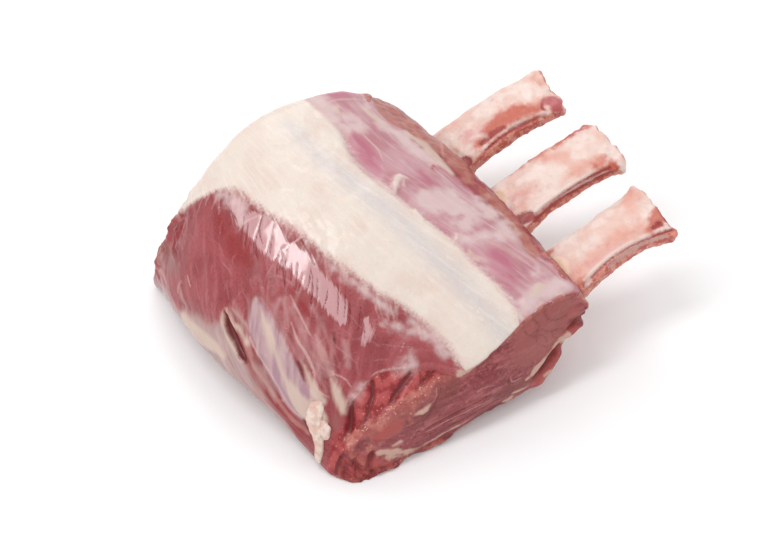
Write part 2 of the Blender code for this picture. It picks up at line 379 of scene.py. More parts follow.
BROWN_MARKS = (
    ((2.35, 0.235, 0.8), (2.5, 0.27, 1.2), (2.68, 0.31, 1.8), (2.82, 0.345, 1.2)),
    ((3.17, 0.41, 0.5), (3.22, 0.46, 0.7), (3.23, 0.5, 0.4)),
    ((3.35, 0.43, 1), (3.5, 0.45, 1), (3.65, 0.46, 0.5)),
    ((3, 0.8, 1), (2.92, 0.84, 2.4), (2.85, 0.9, 3), (2.8, 0.95, 3.2), (2.8, 0.99, 3)),
    ((2.62, 0.055, 1.2), (2.75, 0.065, 1)),
)
# Painted shade: dark red in the slits, the notch and the folds of the chine side.
SIDE_PAINTED_SHADE = (
    (
        (2.64, 0.365, 0.7), (2.7, 0.39, 1.2), (2.85, 0.425, 1.3), (2.95, 0.46, 1.2), (3.05, 0.49, 0.8),
        (3.18, 0.518, 0.2),
    ),
    ((3.12, 0.85, 0.2), (3.17, 0.88, 0.5), (3.3, 0.915, 0.5), (3.48, 0.93, 0.2)),
    ((2.22, 0.1, 1), (2.26, 0.125, 0.6)),
    ((3.05, 0.19, 0.3), (3.15, 0.21, 0.5), (3.25, 0.235, 0.2)),
    ((3.75, 0.985, 1.4), (3.9, 0.975, 1.4)),
    ((3.8, 0.21, 0.3), (3.92, 0.235, 0.4)),
) + TEAR_MARKS
RICH_MARKS = (  # deep clear red where the film is thin
    ((3.95, 0.56, 1.4), (3.95, 0.62, 3), (4, 0.67, 1.8)),
    ((3.95, 0.33, 0.8), (4.02, 0.36, 1.6), (4.08, 0.39, 1.4)),
    ((4, 0.72, 1.6), (4.05, 0.77, 1.4)),
    ((3.4, 0.895, 1.6), (3.46, 0.905, 1.4)),
    ((1.85, 0.13, 2.4), (2.05, 0.2, 2.2), (2.3, 0.27, 1.8), (2.48, 0.32, 1.2)),
)
PURPLE_MARKS = (
    ((6.05, 0.1, 2), (6.2, 0.16, 2.8), (6.3, 0.2, 1.8)),
    ((6, 0.62, 1.2), (6.05, 0.67, 2.6), (6.1, 0.72, 2.4), (6.15, 0.78, 1)),
    ((6.55, 0.52, 1.4), (6.6, 0.57, 1)),
    ((6.45, 0.36, 1.2), (6.52, 0.365, 0.8)),
    ((6.45, 0.405, 0.8), (6.48, 0.41, 0.6)),
    ((5.95, 0.19, 0.2), (5.97, 0.27, 0.5), (5.94, 0.35, 0.3)),
    ((6.4, 0.97, 2), (6.8, 0.98, 2)),
)
SLIT_MARKS = (
    ((2.66, 0.375, 0.2), (2.8, 0.42, 0.7), (2.97, 0.465, 0.7), (3.12, 0.505, 0.3)),
    ((3.13, 0.84, 0.1), (3.14, 0.88, 0.3), (3.3, 0.92, 0.1)),
)
FOLD_MARKS = (  # shallow valleys between the muscles and along the membranes
    ((2.2, 0.12, 0.6), (2.45, 0.22, 0.8), (2.75, 0.32, 0.6)),
    ((3.45, 0.17, 0.4), (3.75, 0.27, 0.7), (3.95, 0.4, 0.5)),
    ((2.85, 0.54, 0.5), (2.66, 0.62, 0.8), (2.45, 0.7, 0.6)),
    ((5.9, 0.05, 0.7), (5.96, 0.25, 0.8), (5.9, 0.5, 0.6)),
    ((5.86, 0.6, 0.6), (5.9, 0.72, 0.8), (6.02, 0.8, 0.4)),
    ((6.95, 0.06, 0.6), (6.98, 0.2, 0.8)),
)
HAZE_MARKS = (  # thin whitish film
    ((6.05, 0.28, 1.5), (6.4, 0.27, 1.2), (6.75, 0.26, 1.8), (6.95, 0.27, 2.8), (7.1, 0.31, 2.5)),
    ((6.35, 0.33, 2.6), (6.7, 0.37, 2.8), (6.45, 0.43, 4.4), (6.2, 0.45, 3.4), (6.7, 0.45, 2.4)),
    ((7.1, 0.36, 3), (7.15, 0.4, 2.2)),
    ((5.95, 0.02, 2.5), (6.3, 0.03, 2.4), (6.7, 0.03, 2.4)),
    ((6.5, 0.09, 0.8), (6.65, 0.1, 0.8)),
    ((7.05, 0.62, 2), (7, 0.7, 2.4), (6.95, 0.76, 2.2), (6.8, 0.8, 1.8)),
    ((6.1, 0.82, 2), (6.4, 0.82, 2), (6.3, 0.86, 1.6)),
    ((6.05, 0.86, 2.2), (6.1, 0.92, 2.6), (6.08, 0.97, 2.2)),
    ((6.85, 0.9, 1.4), (7, 0.93, 1.2)),
    ((4.7, 0.05, 1), (4.72, 0.1, 1.2), (4.7, 0.15, 0.9)),
    ((5, 0.122, 0.3), (4.8, 0.118, 0.5), (4.66, 0.125, 0.7), (4.55, 0.145, 0.7), (4.46, 0.178, 0.2)),
    ((4.05, 0.07, 0.6), (4.2, 0.06, 1.3), (4.3, 0.08, 1)),
    ((3.2, 0.076, 0.4), (3.5, 0.088, 0.5)),
    # this one lies on the wet film, and its whitish colour is partly a painted highlight
    ((4.25, 0.7, 1.2), (4.35, 0.74, 1.5), (4.32, 0.79, 1.5), (4.28, 0.84, 1.2)),
    ((4.62, 0.2, 0.5), (4.6, 0.3, 0.5), (4.56, 0.4, 0.4)),
)
DRY_MARKS = (  # brown, dried meat along the top of the rib wall
    ((6.95, 0.16, 1), (7.15, 0.21, 1.8), (7.35, 0.27, 2.2), (7.5, 0.35, 2.6), (7.55, 0.45, 2.6)),
    (
        (7.45, 0.52, 2.2), (7.6, 0.6, 3.2), (7.65, 0.68, 3.8), (7.6, 0.76, 4.4), (7.3, 0.86, 4.4),
        (7.4, 0.98, 4),
    ),
)
ORANGE_MARKS = (
    (
        (2.45, 0.016, 0.6), (2.8, 0.008, 0.7), (3.2, 0.004, 0.6), (3.6, 0.002, 0.6), (4.1, 0.002, 0.7),
        (4.5, 0.001, 0.4),
    ),
    ((7, 0.05, 0.8), (7.3, 0.12, 1.2), (7.45, 0.2, 1)),
    ((7, 0.93, 1), (7.15, 0.97, 1.4)),
    ((6.85, 0.575, 0.4), (6.97, 0.59, 0.6)),
    ((3.3, 0.965, 0.4), (3.55, 0.975, 0.8), (3.75, 0.985, 0.6), (4.1, 0.985, 0.4)),
    ((2.55, 0.93, 0.4), (2.7, 0.955, 0.9), (2.9, 0.965, 0.7), (3.05, 0.96, 0.3)),
)
# The wet film on the loin: its pale pink is partly the film's own colour and partly a painted highlight, the
# softbox's reflection.
FILM_AND_HIGHLIGHT_MARKS = (
    ((4.05, 0.165, 0.4), (4.22, 0.185, 1.2), (4.33, 0.215, 0.8)),
    ((4.14, 0.25, 1.2), (4.26, 0.31, 2.8), (4.3, 0.38, 3), (4.35, 0.45, 3.4), (4.34, 0.5, 3.2)),
    ((4.3, 0.54, 3.2), (4.34, 0.6, 3.8), (4.32, 0.66, 3)),
    ((4.24, 0.7, 1.6), (4.33, 0.76, 1.8)),
)
BLUE_MARKS = (((5.45, 0, 2.6), (5.55, 0.2, 3.2), (5.58, 0.45, 3), (5.5, 0.7, 2.6), (5.5, 0.9, 1.6)),)
CREASE_MARKS = (  # the creases that are listed one by one
    ((4.03, 0.425, 0.1), (4.17, 0.465, 0.34), (4.28, 0.5, 0.4), (4.32, 0.525, 0.15)),
    ((4.44, 0.42, 0.08), (4.5, 0.46, 0.22), (4.56, 0.51, 0.15)),
    ((4.06, 0.55, 0.08), (4.14, 0.59, 0.3), (4.2, 0.61, 0.1)),
    ((4.22, 0.57, 0.06), (4.28, 0.61, 0.2), (4.37, 0.64, 0.06)),
    ((4.18, 0.69, 0.06), (4.22, 0.73, 0.22), (4.23, 0.79, 0.08)),
)

# Marks on the near cut face, as (x, z, radius) in mm.
FACE_CREAM = (
    ((55, 9.8, 0.4), (57.5, 11.3, 0.9), (61, 13.6, 0.7), (64.5, 16.3, 0.5), (68, 18.2, 0.9)),
    ((48.3, 5, 0.9), (50, 5.4, 0.9)),
    ((50.5, 7.2, 0.5), (53, 6.8, 0.7), (55.5, 6.6, 0.4)),
    ((60, 8.5, 0.3), (61.8, 8.9, 0.5), (63.5, 8.6, 0.3)),
    ((10.5, 6.6, 0.4), (14.5, 5.4, 1), (18, 4, 0.8), (22, 3.4, 0.4), (30, 4.1, 0.2), (38, 4.8, 0.15)),
    ((14.5, 7.2, 0.4), (16.5, 8, 0.5)),
    ((12, 4.6, 0.3), (16.5, 3.4, 0.4), (20.5, 2.9, 0.3)),
    ((21.5, 14.8, 0.4), (24, 15, 0.7), (26, 15.8, 0.3)),
    ((66.8, 15.8, 0.6), (67.5, 17.6, 0.8)),
    ((36, 20.6, 0.8), (40, 21.2, 0.9), (44, 22.6, 0.5)),
)
FACE_ORANGE = (
    (
        (2.5, 10, 0.5), (6, 12.5, 0.6), (10, 15.2, 0.7), (15, 17.6, 0.8), (20, 19.2, 0.9),
        (27, 20.8, 0.6), (33, 21, 0.4),
    ),
    ((5, 11, 0.4), (10, 13.6, 0.5), (16, 16.4, 0.6), (21, 17.6, 1.1), (26, 19.4, 0.9)),
    ((3.5, 10, 0.7), (4.5, 7.5, 0.7), (6, 5.5, 0.4)),
    ((71, 29.4, 0.8), (74, 27.5, 0.8), (75, 24, 0.6)),
    ((33, 21.2, 0.2), (42, 22, 0.15), (50, 25.2, 0.25), (58, 29, 0.25), (66, 30.4, 0.4), (71, 29.6, 0.5)),
    (
        (0, 1, 0.3), (3, 0.5, 0.6), (8, 0.8, 0.4), (12, 1.2, 0.5), (17, 1, 0.3), (22, 1.4, 0.5),
        (29, 1.6, 0.6),
    ),
    ((7.5, 7.6, 0.4), (9.5, 8.6, 0.5), (12, 9, 0.3)),
    ((20, 12, 0.3), (20.5, 15, 0.5), (22, 17, 0.4)),
    ((44, 3.4, 0.3), (47, 3, 0.5), (52, 4.2, 0.5), (57, 5.4, 0.4), (62, 6, 0.4)),
)
FACE_LINES = (
    ((49.3, 17, 0.16), (49.8, 14.5, 0.2), (50.2, 12, 0.22), (53, 11.6, 0.2)),
    ((24, 8, 0.1), (34, 9.2, 0.16), (44, 9.6, 0.1)),
    ((29, 20, 0.1), (28, 17, 0.16), (26, 15.8, 0.1)),
    ((36, 12.5, 0.08), (41, 14.5, 0.12), (46, 14, 0.08)),
)
FACE_SEAMS = (  # fine grooves between the muscle's bundles, painted dark as shade
    ((55.5, 26.5, 0.06), (56.5, 24, 0.14), (58.5, 22.5, 0.16), (59, 20, 0.12), (61.5, 17.5, 0.1)),
    ((58.5, 28, 0.06), (60, 25.5, 0.14), (59, 23.5, 0.14), (61, 21.5, 0.14), (62, 19, 0.08)),
    ((62, 28.5, 0.06), (63, 26, 0.14), (65.5, 24.5, 0.16), (69, 24, 0.1)),
    ((56.5, 24, 0.06), (60, 24.2, 0.12), (63, 22, 0.14), (66.5, 21, 0.14), (68, 19, 0.08)),
    ((63.5, 22, 0.06), (64, 19.5, 0.12), (66.5, 17.5, 0.08)),
    ((24, 9, 0.1), (32, 10, 0.16), (42, 11, 0.1)),
    ((26, 5.5, 0.1), (36, 6.8, 0.14), (46, 7.6, 0.1)),
    ((30, 19, 0.1), (27, 15, 0.14), (23, 11, 0.12), (21, 8, 0.08)),
)
# Painted shade on the near face: darker in the gaps between its lobes and along its foot.
FACE_PAINTED_SHADE = (
    ((57.5, 8.9, 0.3), (60.5, 10.9, 0.8), (63.5, 13.4, 1.1), (66, 15.4, 0.5)),
    ((-1, 1, 2.5), (1.5, 5, 2.6), (1, 8.5, 1.4)),
    ((2, 2, 2.2), (10, 1.4, 1.8), (20, 1.2, 1.8), (31, 1.8, 1.2)),
    ((9, 6.5, 0.7), (7.6, 4.4, 0.9)),
    ((40, 3.4, 0.4), (45.5, 4.2, 0.7), (48, 4.6, 0.5)),
    ((69.5, 21.5, 0.6), (72, 22.2, 0.8), (74, 21.6, 0.7)),
    ((21, 13.9, 0.3), (24, 13.9, 0.4)),
)
# Gaps between the near face's lobes, cut in and also painted dark as shade.
FACE_GAPS = (
    ((57.5, 8.9, 0.1), (60.5, 10.9, 0.6), (63.5, 13.4, 0.9), (66, 15.4, 0.2)),
    ((9, 7, 0.2), (8.2, 5.4, 0.6), (7.6, 3.2, 0.4), (8.4, 1.6, 0.2)),
    ((5.2, 8, 0.1), (4.4, 5.6, 0.4), (5, 3, 0.4), (6, 1.2, 0.2)),
    ((1.6, 7, 0.1), (2.2, 4.4, 0.5), (1.6, 2, 0.3)),
    ((14, 1.9, 0.1), (19, 1.4, 0.3), (24, 1.9, 0.2)),
    ((69, 19.6, 0.2), (71.5, 20.4, 0.4), (74, 20.2, 0.2)),
)
FACE_RIDGES = (  # lobes that stand out of the near face
    ((3.4, 8.5, 0.6), (3.2, 5.5, 1), (3.4, 2.5, 0.8)),
    ((6.6, 7.5, 0.6), (6.2, 5, 1), (6.6, 2.4, 0.8)),
    ((10, 1.2, 0.8), (17, 0.9, 0.9), (24, 1.1, 0.8), (31, 1.8, 0.7)),
    ((4, 1, 1.6), (8, 1.2, 2.2), (12, 1.4, 1.6)),
    ((11, 11.6, 1), (14, 12.8, 2.2), (17, 13.6, 1.2)),
    ((4, 9, 1), (6, 6, 1.4), (9.5, 2.8, 1)),
    ((10.5, 4.5, 0.8), (12.5, 2.6, 1.2)),
    ((58.5, 6.8, 1.4), (62, 9, 1.6), (65.5, 12.5, 1)),
    ((68.5, 17.5, 0.8), (72.5, 19, 1.2)),
    ((71, 23.6, 1), (74, 24, 1)),
)
FACE_LOBE = (((3, 2, 2), (9, 2, 2.6), (15, 1.6, 1.6)),)  # the foot bulges out by the near corner
FACE_SHADE = (  # where the cut meat is darker and browner
    ((46, 9.5, 1.6), (50.5, 9, 2.6), (55, 8.4, 1.4)),
    ((22, 12, 1.4), (30, 16, 2.4), (34, 18.5, 1.6)),
)
FACE_FOOT = (  # (x, z): the ragged dark meat along the near face's foot reaches up to here; its darkness is partly its own and partly painted shade by the floor
    (-5, 9), (0, 9), (4, 6), (8, 3.6), (14, 2.8), (20, 2.4), (30, 2.9), (40, 3.2), (48, 3.2), (56, 4),
    (62, 4), (80, 6),
)
FACE_TAN = (
    ((54, 18, 3), (60, 22, 7.5), (67, 25.5, 5)),
    ((8, 12, 1), (14, 14.5, 1.8), (22, 17, 1.6), (30, 19.6, 1.2), (40, 20.6, 0.6)),
)
FACE_PINK = (
    ((10.5, 11.3, 0.8), (13.5, 12.8, 2), (16.5, 13.6, 1.4)),
    ((59, 7.2, 2), (64, 10.5, 2), (70, 18, 2)),
    ((5, 7, 1.6), (9, 3.4, 1.8), (13, 2.6, 1.4)),
)

# Marks on the far cut face, as (x, z, radius) in mm.
FAR_CREAM = (
    ((-3.5, 18, 0.3), (0.5, 14.5, 0.7), (3.5, 10, 0.4), (5.5, 5.5, 0.5), (8, 2.5, 0.6)),
    ((46.5, 40, 0.1), (51, 34.5, 0.3), (56, 31, 0.8), (61, 29, 0.4)),
    ((20, 6, 0.1), (27, 5, 0.5), (37, 4.6, 0.3), (47, 5.6, 0.5), (55, 9, 0.2)),
    ((62.5, 23, 0.3), (64, 25, 0.7)),
    ((11, 36, 0.1), (18, 42, 0.4), (28, 45.8, 0.3), (38, 46.2, 0.4)),
)
FAR_LINES = (
    ((12, 16, 0.08), (21, 19, 0.14), (30, 18, 0.08)),
    ((24, 31, 0.08), (34, 31, 0.12), (41, 27, 0.06)),
    ((30, 11, 0.06), (40, 12.5, 0.12), (49, 16, 0.08)),
)
# Fine grooves on the far face, painted dark as shade.
FAR_SEAMS = (
    ((46, 43, 0.1), (49, 36, 0.2), (55, 30, 0.2), (62, 27.5, 0.1)),
    ((52, 40, 0.08), (55, 36, 0.16), (60, 34, 0.12)),
    ((50, 30, 0.08), (54, 25, 0.16), (55, 19, 0.14), (60, 14, 0.1)),
    ((2, 20, 0.1), (7, 15, 0.18), (10, 9, 0.16), (12, 4, 0.1)),
    ((16, 8.5, 0.1), (28, 7.5, 0.18), (42, 7.6, 0.18), (54, 10.5, 0.1)),
)
FAR_TAN = (((54, 36, 4.5), (61, 31, 4)), ((56, 12, 2.5), (62, 17, 3)))
# Painted shade on the far face: darker along its foot and in a groove.
FAR_PAINTED_SHADE = (
    ((-3, 3, 2), (2, 2, 1.6)),
    ((40, 2, 0.9), (50, 3.4, 1.2), (58, 6.5, 0.9)),
    ((57, 29.3, 0.3), (60, 27.4, 0.6)),
)
FAR_ORANGE = (
    ((-6, 5, 0.6), (-5, 12, 0.7), (-2.5, 19, 0.8), (2, 27, 0.6)),
    ((68.5, 20, 0.6), (67.5, 28, 0.8), (62, 36.5, 0.7), (56, 42, 0.4)),
    ((14, 0.8, 0.5), (26, 0.6, 0.4), (38, 0.8, 0.6)),
)
FAR_PINK = (((2, 9, 2), (4, 15, 2.4), (2, 21, 1.6)), ((22, 2.8, 1.4), (34, 2.6, 1.6)))

# Strands of film, in the order they are drawn: (edge, reach in places, count, radius) for those that fray
# off the silverskin, and (count, places, shares, radius, headings, wander, step) for those that wander.
FRAYS = ((SILVER_LEFT, -0.20, 80, 0.22), (SILVER_RIGHT, 0.10, 40, 0.2))
THIN_STRANDS = (
    (60, (2.9, 4.3), (0.10, 0.85), 0.16, (0.2, 1.0), 0.3, (0.10, 0.022)),
    (26, (3.0, 4.6), (0.09, 0.20), 0.13, (-0.9, 1.6), 0.5, (0.10, 0.022)),
    (24, (5.95, 7.1), (0.02, 0.95), 0.14, (-0.5, 0.3), 0.3, (0.10, 0.022)),
)
WIDE_STRANDS = (
    (40, (2.9, 3.7), (0.10, 0.42), 0.55, (0.45, 0.85), 0.12, (0.18, 0.04)),
    (40, (1.2, 2.5), (0.20, 0.90), 0.8, (0.5, 1.1), 0.15, (0.18, 0.03)),
    (40, (5.95, 7.1), (0.02, 0.95), 0.6, (-0.5, 0.3), 0.25, (0.10, 0.035)),
)
CREASES_FROM, CREASES_TO, CREASE_COUNT = 0.17, 0.66, 26  # shares of the length, and how many lie between

# What is painted: each field's marks on the sides, on the near cut face and on the far one.
PAINTED = {
    "membrane": (MEMBRANE_MARKS,),
    "film_and_highlight": (FILM_AND_HIGHLIGHT_MARKS,),
    "cream": (CREAM_MARKS, FACE_CREAM, FAR_CREAM),
    "strip": (PINK_MARKS,),
    "painted_shade": (SIDE_PAINTED_SHADE, FACE_PAINTED_SHADE + FACE_GAPS, FAR_PAINTED_SHADE),
    "brown": (BROWN_MARKS, FACE_SHADE),
    "rich": (RICH_MARKS,),
    "purple": (PURPLE_MARKS,),
    "blue": (BLUE_MARKS,),
    "haze": (HAZE_MARKS,),
    "dry": (DRY_MARKS,),
    "orange": (ORANGE_MARKS, FACE_ORANGE, FAR_ORANGE),
    "knob": (KNOB_MARKS,),
    "line": (LIP_MARKS + TORN_LIP, FACE_LINES, FAR_LINES),
    "seam": ((), FACE_SEAMS, FAR_SEAMS),
    "tan": ((), FACE_TAN, FAR_TAN),
    "pink": ((), FACE_PINK, FAR_PINK),
}


FACE_WEIGHT = 0.1  # a point takes a cut face's marks when it belongs to the face by more than this


def face_place(x, z):
    """Places on a cut face, which is looked at straight on, so that Y doesn't count."""
    return np.stack([x, np.zeros_like(x), z], axis=1)


def add_marks(field, points, where, chart, marks):
    """Takes marks into a field of depths: chart turns a mark's knots into places among the points."""
    for knots in marks:
        path = smooth_path(knots)
        depth = capsule_depth(points[where], chart(path[:, 0], path[:, 1]), path[:, 2])
        field[where] = np.maximum(field[where], depth)


class Block(Sheet):
    """The block's skin, with each point's place round the outline, share of the length, and face."""

    def __init__(self):
        rings = block_rings()
        share, inset, size, dome = rings.T[:, :, None]
        shape = (len(rings), AROUND_STEPS)
        self.around = np.broadcast_to(around_places(), shape)
        self.share = np.broadcast_to(share, shape)
        self.is_side = rings[:, 2] == 1
        super().__init__(block_point(self.around, self.share, inset, size, dome))
        ring = np.arange(len(rings))[:, None]
        first_side = NEAR_FACE_STEPS - 1
        last_side = len(rings) - FAR_FACE_STEPS
        self.near = np.broadcast_to(1 - smooth(first_side - 1, first_side + 3, ring), shape)
        self.far = np.broadcast_to(smooth(last_side - 3, last_side + 1, ring), shape)
        self.side = 1 - np.maximum(self.near, self.far)

    def depth_of(self, side_marks=(), face_marks=(), far_marks=()):
        """The depth inside marks on the sides, the near face and the far face."""
        field = np.full(self.around.shape, OUTSIDE)
        for knots in side_marks:
            path = smooth_path(knots)
            margin = path[:, 2].max() + MARK_MARGIN
            share, around = path[:, 1], path[:, 0]
            near, far = share.min() - margin / BLOCK_LENGTH, share.max() + margin / BLOCK_LENGTH
            rows = np.flatnonzero(self.is_side & (self.share[:, 0] >= near) & (self.share[:, 0] <= far))
            spread = margin / PLACE_LENGTH
            low, high = around.min() - spread, around.max() + spread
            columns = np.flatnonzero((self.around[0] > low) & (self.around[0] < high))
            window = np.ix_(rows, columns)
            points = self.points[window].reshape(-1, 3)
            depth = capsule_depth(points, block_point(around, share), path[:, 2])
            field[window] = np.maximum(field[window], depth.reshape(len(rows), len(columns)))
        level = self.flat() * (1, 0, 1)
        for weight, marks in ((self.near, face_marks), (self.far, far_marks)):
            add_marks(field.reshape(-1), level, weight.ravel() > FACE_WEIGHT, face_place, marks)
        return field

    def beyond(self, edge, sign):
        """Millimetres round the outline past an edge of (share, place), on the side that sign says."""
        place = through(edge, self.share[:, 0])
        at = block_point(place, self.share[:, 0])[:, None]
        away = np.linalg.norm(self.points - at, axis=-1)
        return np.where((self.around - place[:, None]) * sign > 0, away, -away)


def grain(block):
    """Coordinates across and along the fibres, in mm: slanting on the chine side and straight on top."""
    start = block_point(GRAIN_START, block.share[:, 0])[:, None]
    step = np.linalg.norm(np.diff(block.points, axis=1, prepend=block.points[:, -1:]), axis=-1)
    round_mm = np.cumsum(step, axis=1)
    nearest = np.argmin(np.linalg.norm(block.points - start, axis=-1), axis=1)
    round_mm = round_mm - np.take_along_axis(round_mm, nearest[:, None], axis=1)
    along_mm = (block.share - 0.5) * BLOCK_LENGTH
    slant = np.radians(through(FIBRE_SLANT, block.around))
    return (
        round_mm * np.cos(slant) - along_mm * np.sin(slant),
        round_mm * np.sin(slant) + along_mm * np.cos(slant),
    )


def creases(random):
    """Dark creases that cross the wet film on the loin, fanning out towards the silverskin."""
    # the creases are painted darker than the red around them, as shade
    marks = list(CREASE_MARKS)
    # start and reach are in places round the outline, share and lean in shares of the length
    for share in np.linspace(CREASES_FROM, CREASES_TO, CREASE_COUNT):
        start = 4.02 + 0.16 * random.random()
        reach = 0.12 + 0.24 * random.random()
        share += 0.012 * random.normal()
        lean = reach * (0.16 + 0.10 * random.random())
        radius = 0.08 + 0.16 * random.random()
        marks.append((
            (start, share, radius * 0.3),
            (start + reach * 0.45, share + lean * 0.4, radius),
            (start + reach, share + lean, radius * 0.2),
        ))
    return marks


def strands(random, count, around, share, radius, heading, wander, step):
    """Thin marks that start within the given places and wander off in about one heading."""
    marks = []
    for _ in range(count):
        a, u = random.uniform(*around), random.uniform(*share)
        turn = random.uniform(*heading)
        size = radius * random.uniform(0.4, 1.4)
        bends = random.integers(3, 6)
        mark = []
        for bend in range(bends):
            mark.append((a, u, size * math.sin(math.pi * (bend + 0.6) / (bends + 0.2))))
            turn += wander * random.normal()
            a += step[0] * math.sin(turn)
            u += step[1] * math.cos(turn)
        marks.append(mark)
    return marks


def fringe(random, edge, reach, count, radius):
    """Thin strands that leave an edge of (share, place) and fray into what lies beside it."""
    marks = []
    for share in random.uniform(0.0, 0.98, count):
        place = through(edge, np.array([share]))[0]
        length = reach * random.uniform(0.25, 1.2)
        drift = abs(length) * random.uniform(-0.36, -0.10)
        size = radius * random.uniform(0.5, 1.3)
        marks.append((
            (place - 0.08 * np.sign(reach), share - drift * 0.3, size),
            (place + length * 0.4, share + drift * 0.4, size * 0.8),
            (place + length, share + drift, size * 0.3),
        ))
    return marks


# ================================================================ the block's fields and relief
def block_fields(block):
    """Every painted field of the block, in mm of depth inside its marks, or as a weight."""
    random = np.random.default_rng(SEED)
    drawn = {
        "fray": [mark for row in FRAYS for mark in fringe(random, *row)],
        "thin": [mark for row in THIN_STRANDS for mark in strands(random, *row)],
        "wide": [mark for row in WIDE_STRANDS for mark in strands(random, *row)],
        "crease": creases(random),
    }
    fields = {name: block.depth_of(*marks) for name, marks in PAINTED.items()}
    fields |= {name: block.depth_of(marks) for name, marks in drawn.items()}
    fields["silver"] = np.minimum(block.beyond(SILVER_LEFT, 1), block.beyond(SILVER_RIGHT, -1))
    fields["cap"] = np.minimum(*(
        block.beyond(((0, place), (1, place)), sign) for place, sign in ((CAP_LEFT, 1), (CAP_RIGHT, -1))
    ))
    torn = (through(TORN_EDGE, block.around) - block.share) * BLOCK_LENGTH
    fields["torn"] = np.where(block.around > CHINE_SIDE, -DEEPEST, torn)
    fields["pale"] = np.where(block.around < CHINE_SIDE, block.beyond(PALE_EDGE, -1), -DEEPEST)
    fields = {name: np.clip(field, -DEEPEST, DEEPEST) for name, field in fields.items()}
    low_edge = through(FACE_FOOT, block.points[..., 0])
    fields["foot"] = np.where(block.near > 0, low_edge - block.points[..., 2], -DEEPEST)
    fields["cut"] = np.maximum(block.near, block.far)
    fields["under"] = smooth(RIB_SIDE, UNDER_SIDE, block.around) + 1 - smooth(0.3, 1.3, block.around)
    return fields


TEAR_SLOPE = math.radians(25)  # how far the raw flesh's folds run off the way round the outline
MEAN_PLACE_LENGTH = 15.5  # about the outline's length from one of its places to the next, in mm
FIBRE_STRETCH, FOLD_STRETCH, WAVE_STRETCH = 7, 4.5, 4  # how much longer than wide their lumps are


def block_relief(block, fields, across, along):
    """How far each point of the block stands out from the plain solid, in mm.

    Each term is a height in mm times a weight of 0 to 1 that says where it counts.
    """
    flat = block.flat()
    zero = np.zeros(len(flat))
    around, share = block.around, block.share

    def lumps(size, seed, at=flat):
        """Noise with lumps of a size in mm."""
        return noise(at, size, seed).reshape(around.shape)

    def part(name, low, high):
        """0 to 1 as a field's depth goes from low to high, in mm."""
        return smooth(low, high, fields[name])

    fibre = np.stack([across.ravel(), along.ravel() / FIBRE_STRETCH, zero], axis=1)
    red = block.side * (1 - part("silver", -1, 1)) * (around < CHINE_SIDE)
    film_and_highlight = part("film_and_highlight", -2.5, 1.0)
    height = 0.50 * lumps(14, 1)
    height += (1 - 0.85 * film_and_highlight) * (0.18 * lumps(6, 2) + 0.05 * lumps(2.2, 3))
    height += red * (1 - film_and_highlight) * (0.12 * lumps(2.8, 4, fibre) + 0.05 * lumps(1.2, 5, fibre))
    height += film_and_highlight * 0.10 * lumps(5.0, 7)
    height += 0.22 * part("silver", -0.8, 1.0)
    height += part("silver", -0.5, 1.0) * (0.07 * lumps(1.6, 6) + 0.10 * lumps(3.4, 20))
    height -= 0.12 * part("crease", -0.40, 0.25)
    height += 0.25 * part("membrane", -1.0, 1.0) + 0.18 * part("cream", -0.8, 0.8)
    height += 0.10 * part("strip", -0.5, 0.5) + 0.06 * part("line", -0.35, 0.2)
    height += (1 - film_and_highlight) * (0.05 * part("fray", -0.4, 0.2) + 0.04 * part("thin", -0.4, 0.2))
    height += 0.10 * part("wide", -0.6, 0.5) * block.side
    height += part("knob", -0.8, 0.8) * (0.7 + 0.3 * lumps(1.4, 19))
    height -= 0.20 * part("seam", -0.45, 0.15)
    height -= 0.7 * smooth(-2.2, 1.0, block.depth_of(FOLD_MARKS))
    height += 1.4 * smooth(-1.6, 1.4, block.depth_of((), FACE_RIDGES))
    height += 0.9 * block.near * smooth(-3.5, 2.0, block.depth_of((), FACE_LOBE))
    # the top stands higher towards the far face
    crest = smooth(4.6, 5.6, around) * (1 - smooth(6.6, 7.4, around))
    height += 1.4 * crest * smooth(0.70, 0.98, share) * (1 - 0.5 * block.far)
    slit = block.depth_of(SLIT_MARKS, FACE_GAPS)
    height += 0.3 * smooth(-2.4, -0.8, slit) - 1.6 * smooth(-0.9, 0.5, slit)
    # the raw flesh below the torn film lies lower and in slanting folds
    torn = part("torn", -0.4, 0.6) * block.side * smooth(2.2, 2.7, around)
    round_mm, share_mm = around.ravel() * MEAN_PLACE_LENGTH, share.ravel() * BLOCK_LENGTH
    fold_along = round_mm * math.cos(TEAR_SLOPE) + share_mm * math.sin(TEAR_SLOPE)
    fold_across = share_mm * math.cos(TEAR_SLOPE) - round_mm * math.sin(TEAR_SLOPE)
    folds = np.stack([fold_across, fold_along / FOLD_STRETCH, zero], axis=1)
    height += torn * (-0.9 + 1.1 * lumps(2.6, 11, folds) + 0.35 * lumps(1.1, 14, folds))
    height -= 1.4 * smooth(-0.9, 0.4, block.depth_of(TEAR_MARKS))
    # ragged meat at the near face's foot, at the far chine corner and along the rib wall
    foot = block.near * (1 - smooth(1.5, 4.0, block.points[..., 2]))
    corner = smooth(0.84, 0.95, share) * smooth(0.5, 1.2, around) * (1 - smooth(3.4, 4.2, around))
    wall = smooth(6.9, 7.3, around) * (1 - smooth(8.2, 8.8, around)) * block.side
    ragged = np.maximum(np.maximum(0.7 * foot, 1.5 * corner), 0.4 * wall)
    height += ragged * (1.1 * lumps(4.5, 8) + 0.5 * lumps(1.8, 9) + 0.2 * lumps(0.9, 13))
    # the crumbly rim, and the cut faces' own waves
    height += part("orange", -0.8, 0.3) * (0.35 + 0.35 * lumps(2.0, 16) + 0.2 * lumps(0.9, 17))
    waves = flat / (WAVE_STRETCH, 1, 1)
    height += fields["cut"] * (0.14 * lumps(2.0, 10, waves) + 0.25 * lumps(6, 15))
    height += fields["cut"] * 0.09 * lumps(1.2, 18)
    return height


def with_ends(values):
    """Values over rings as a list, then the means of the first ring and the last for the end points."""
    return np.concatenate([values.reshape(-1, *values.shape[2:]), values[[0, -1]].mean(axis=1)])


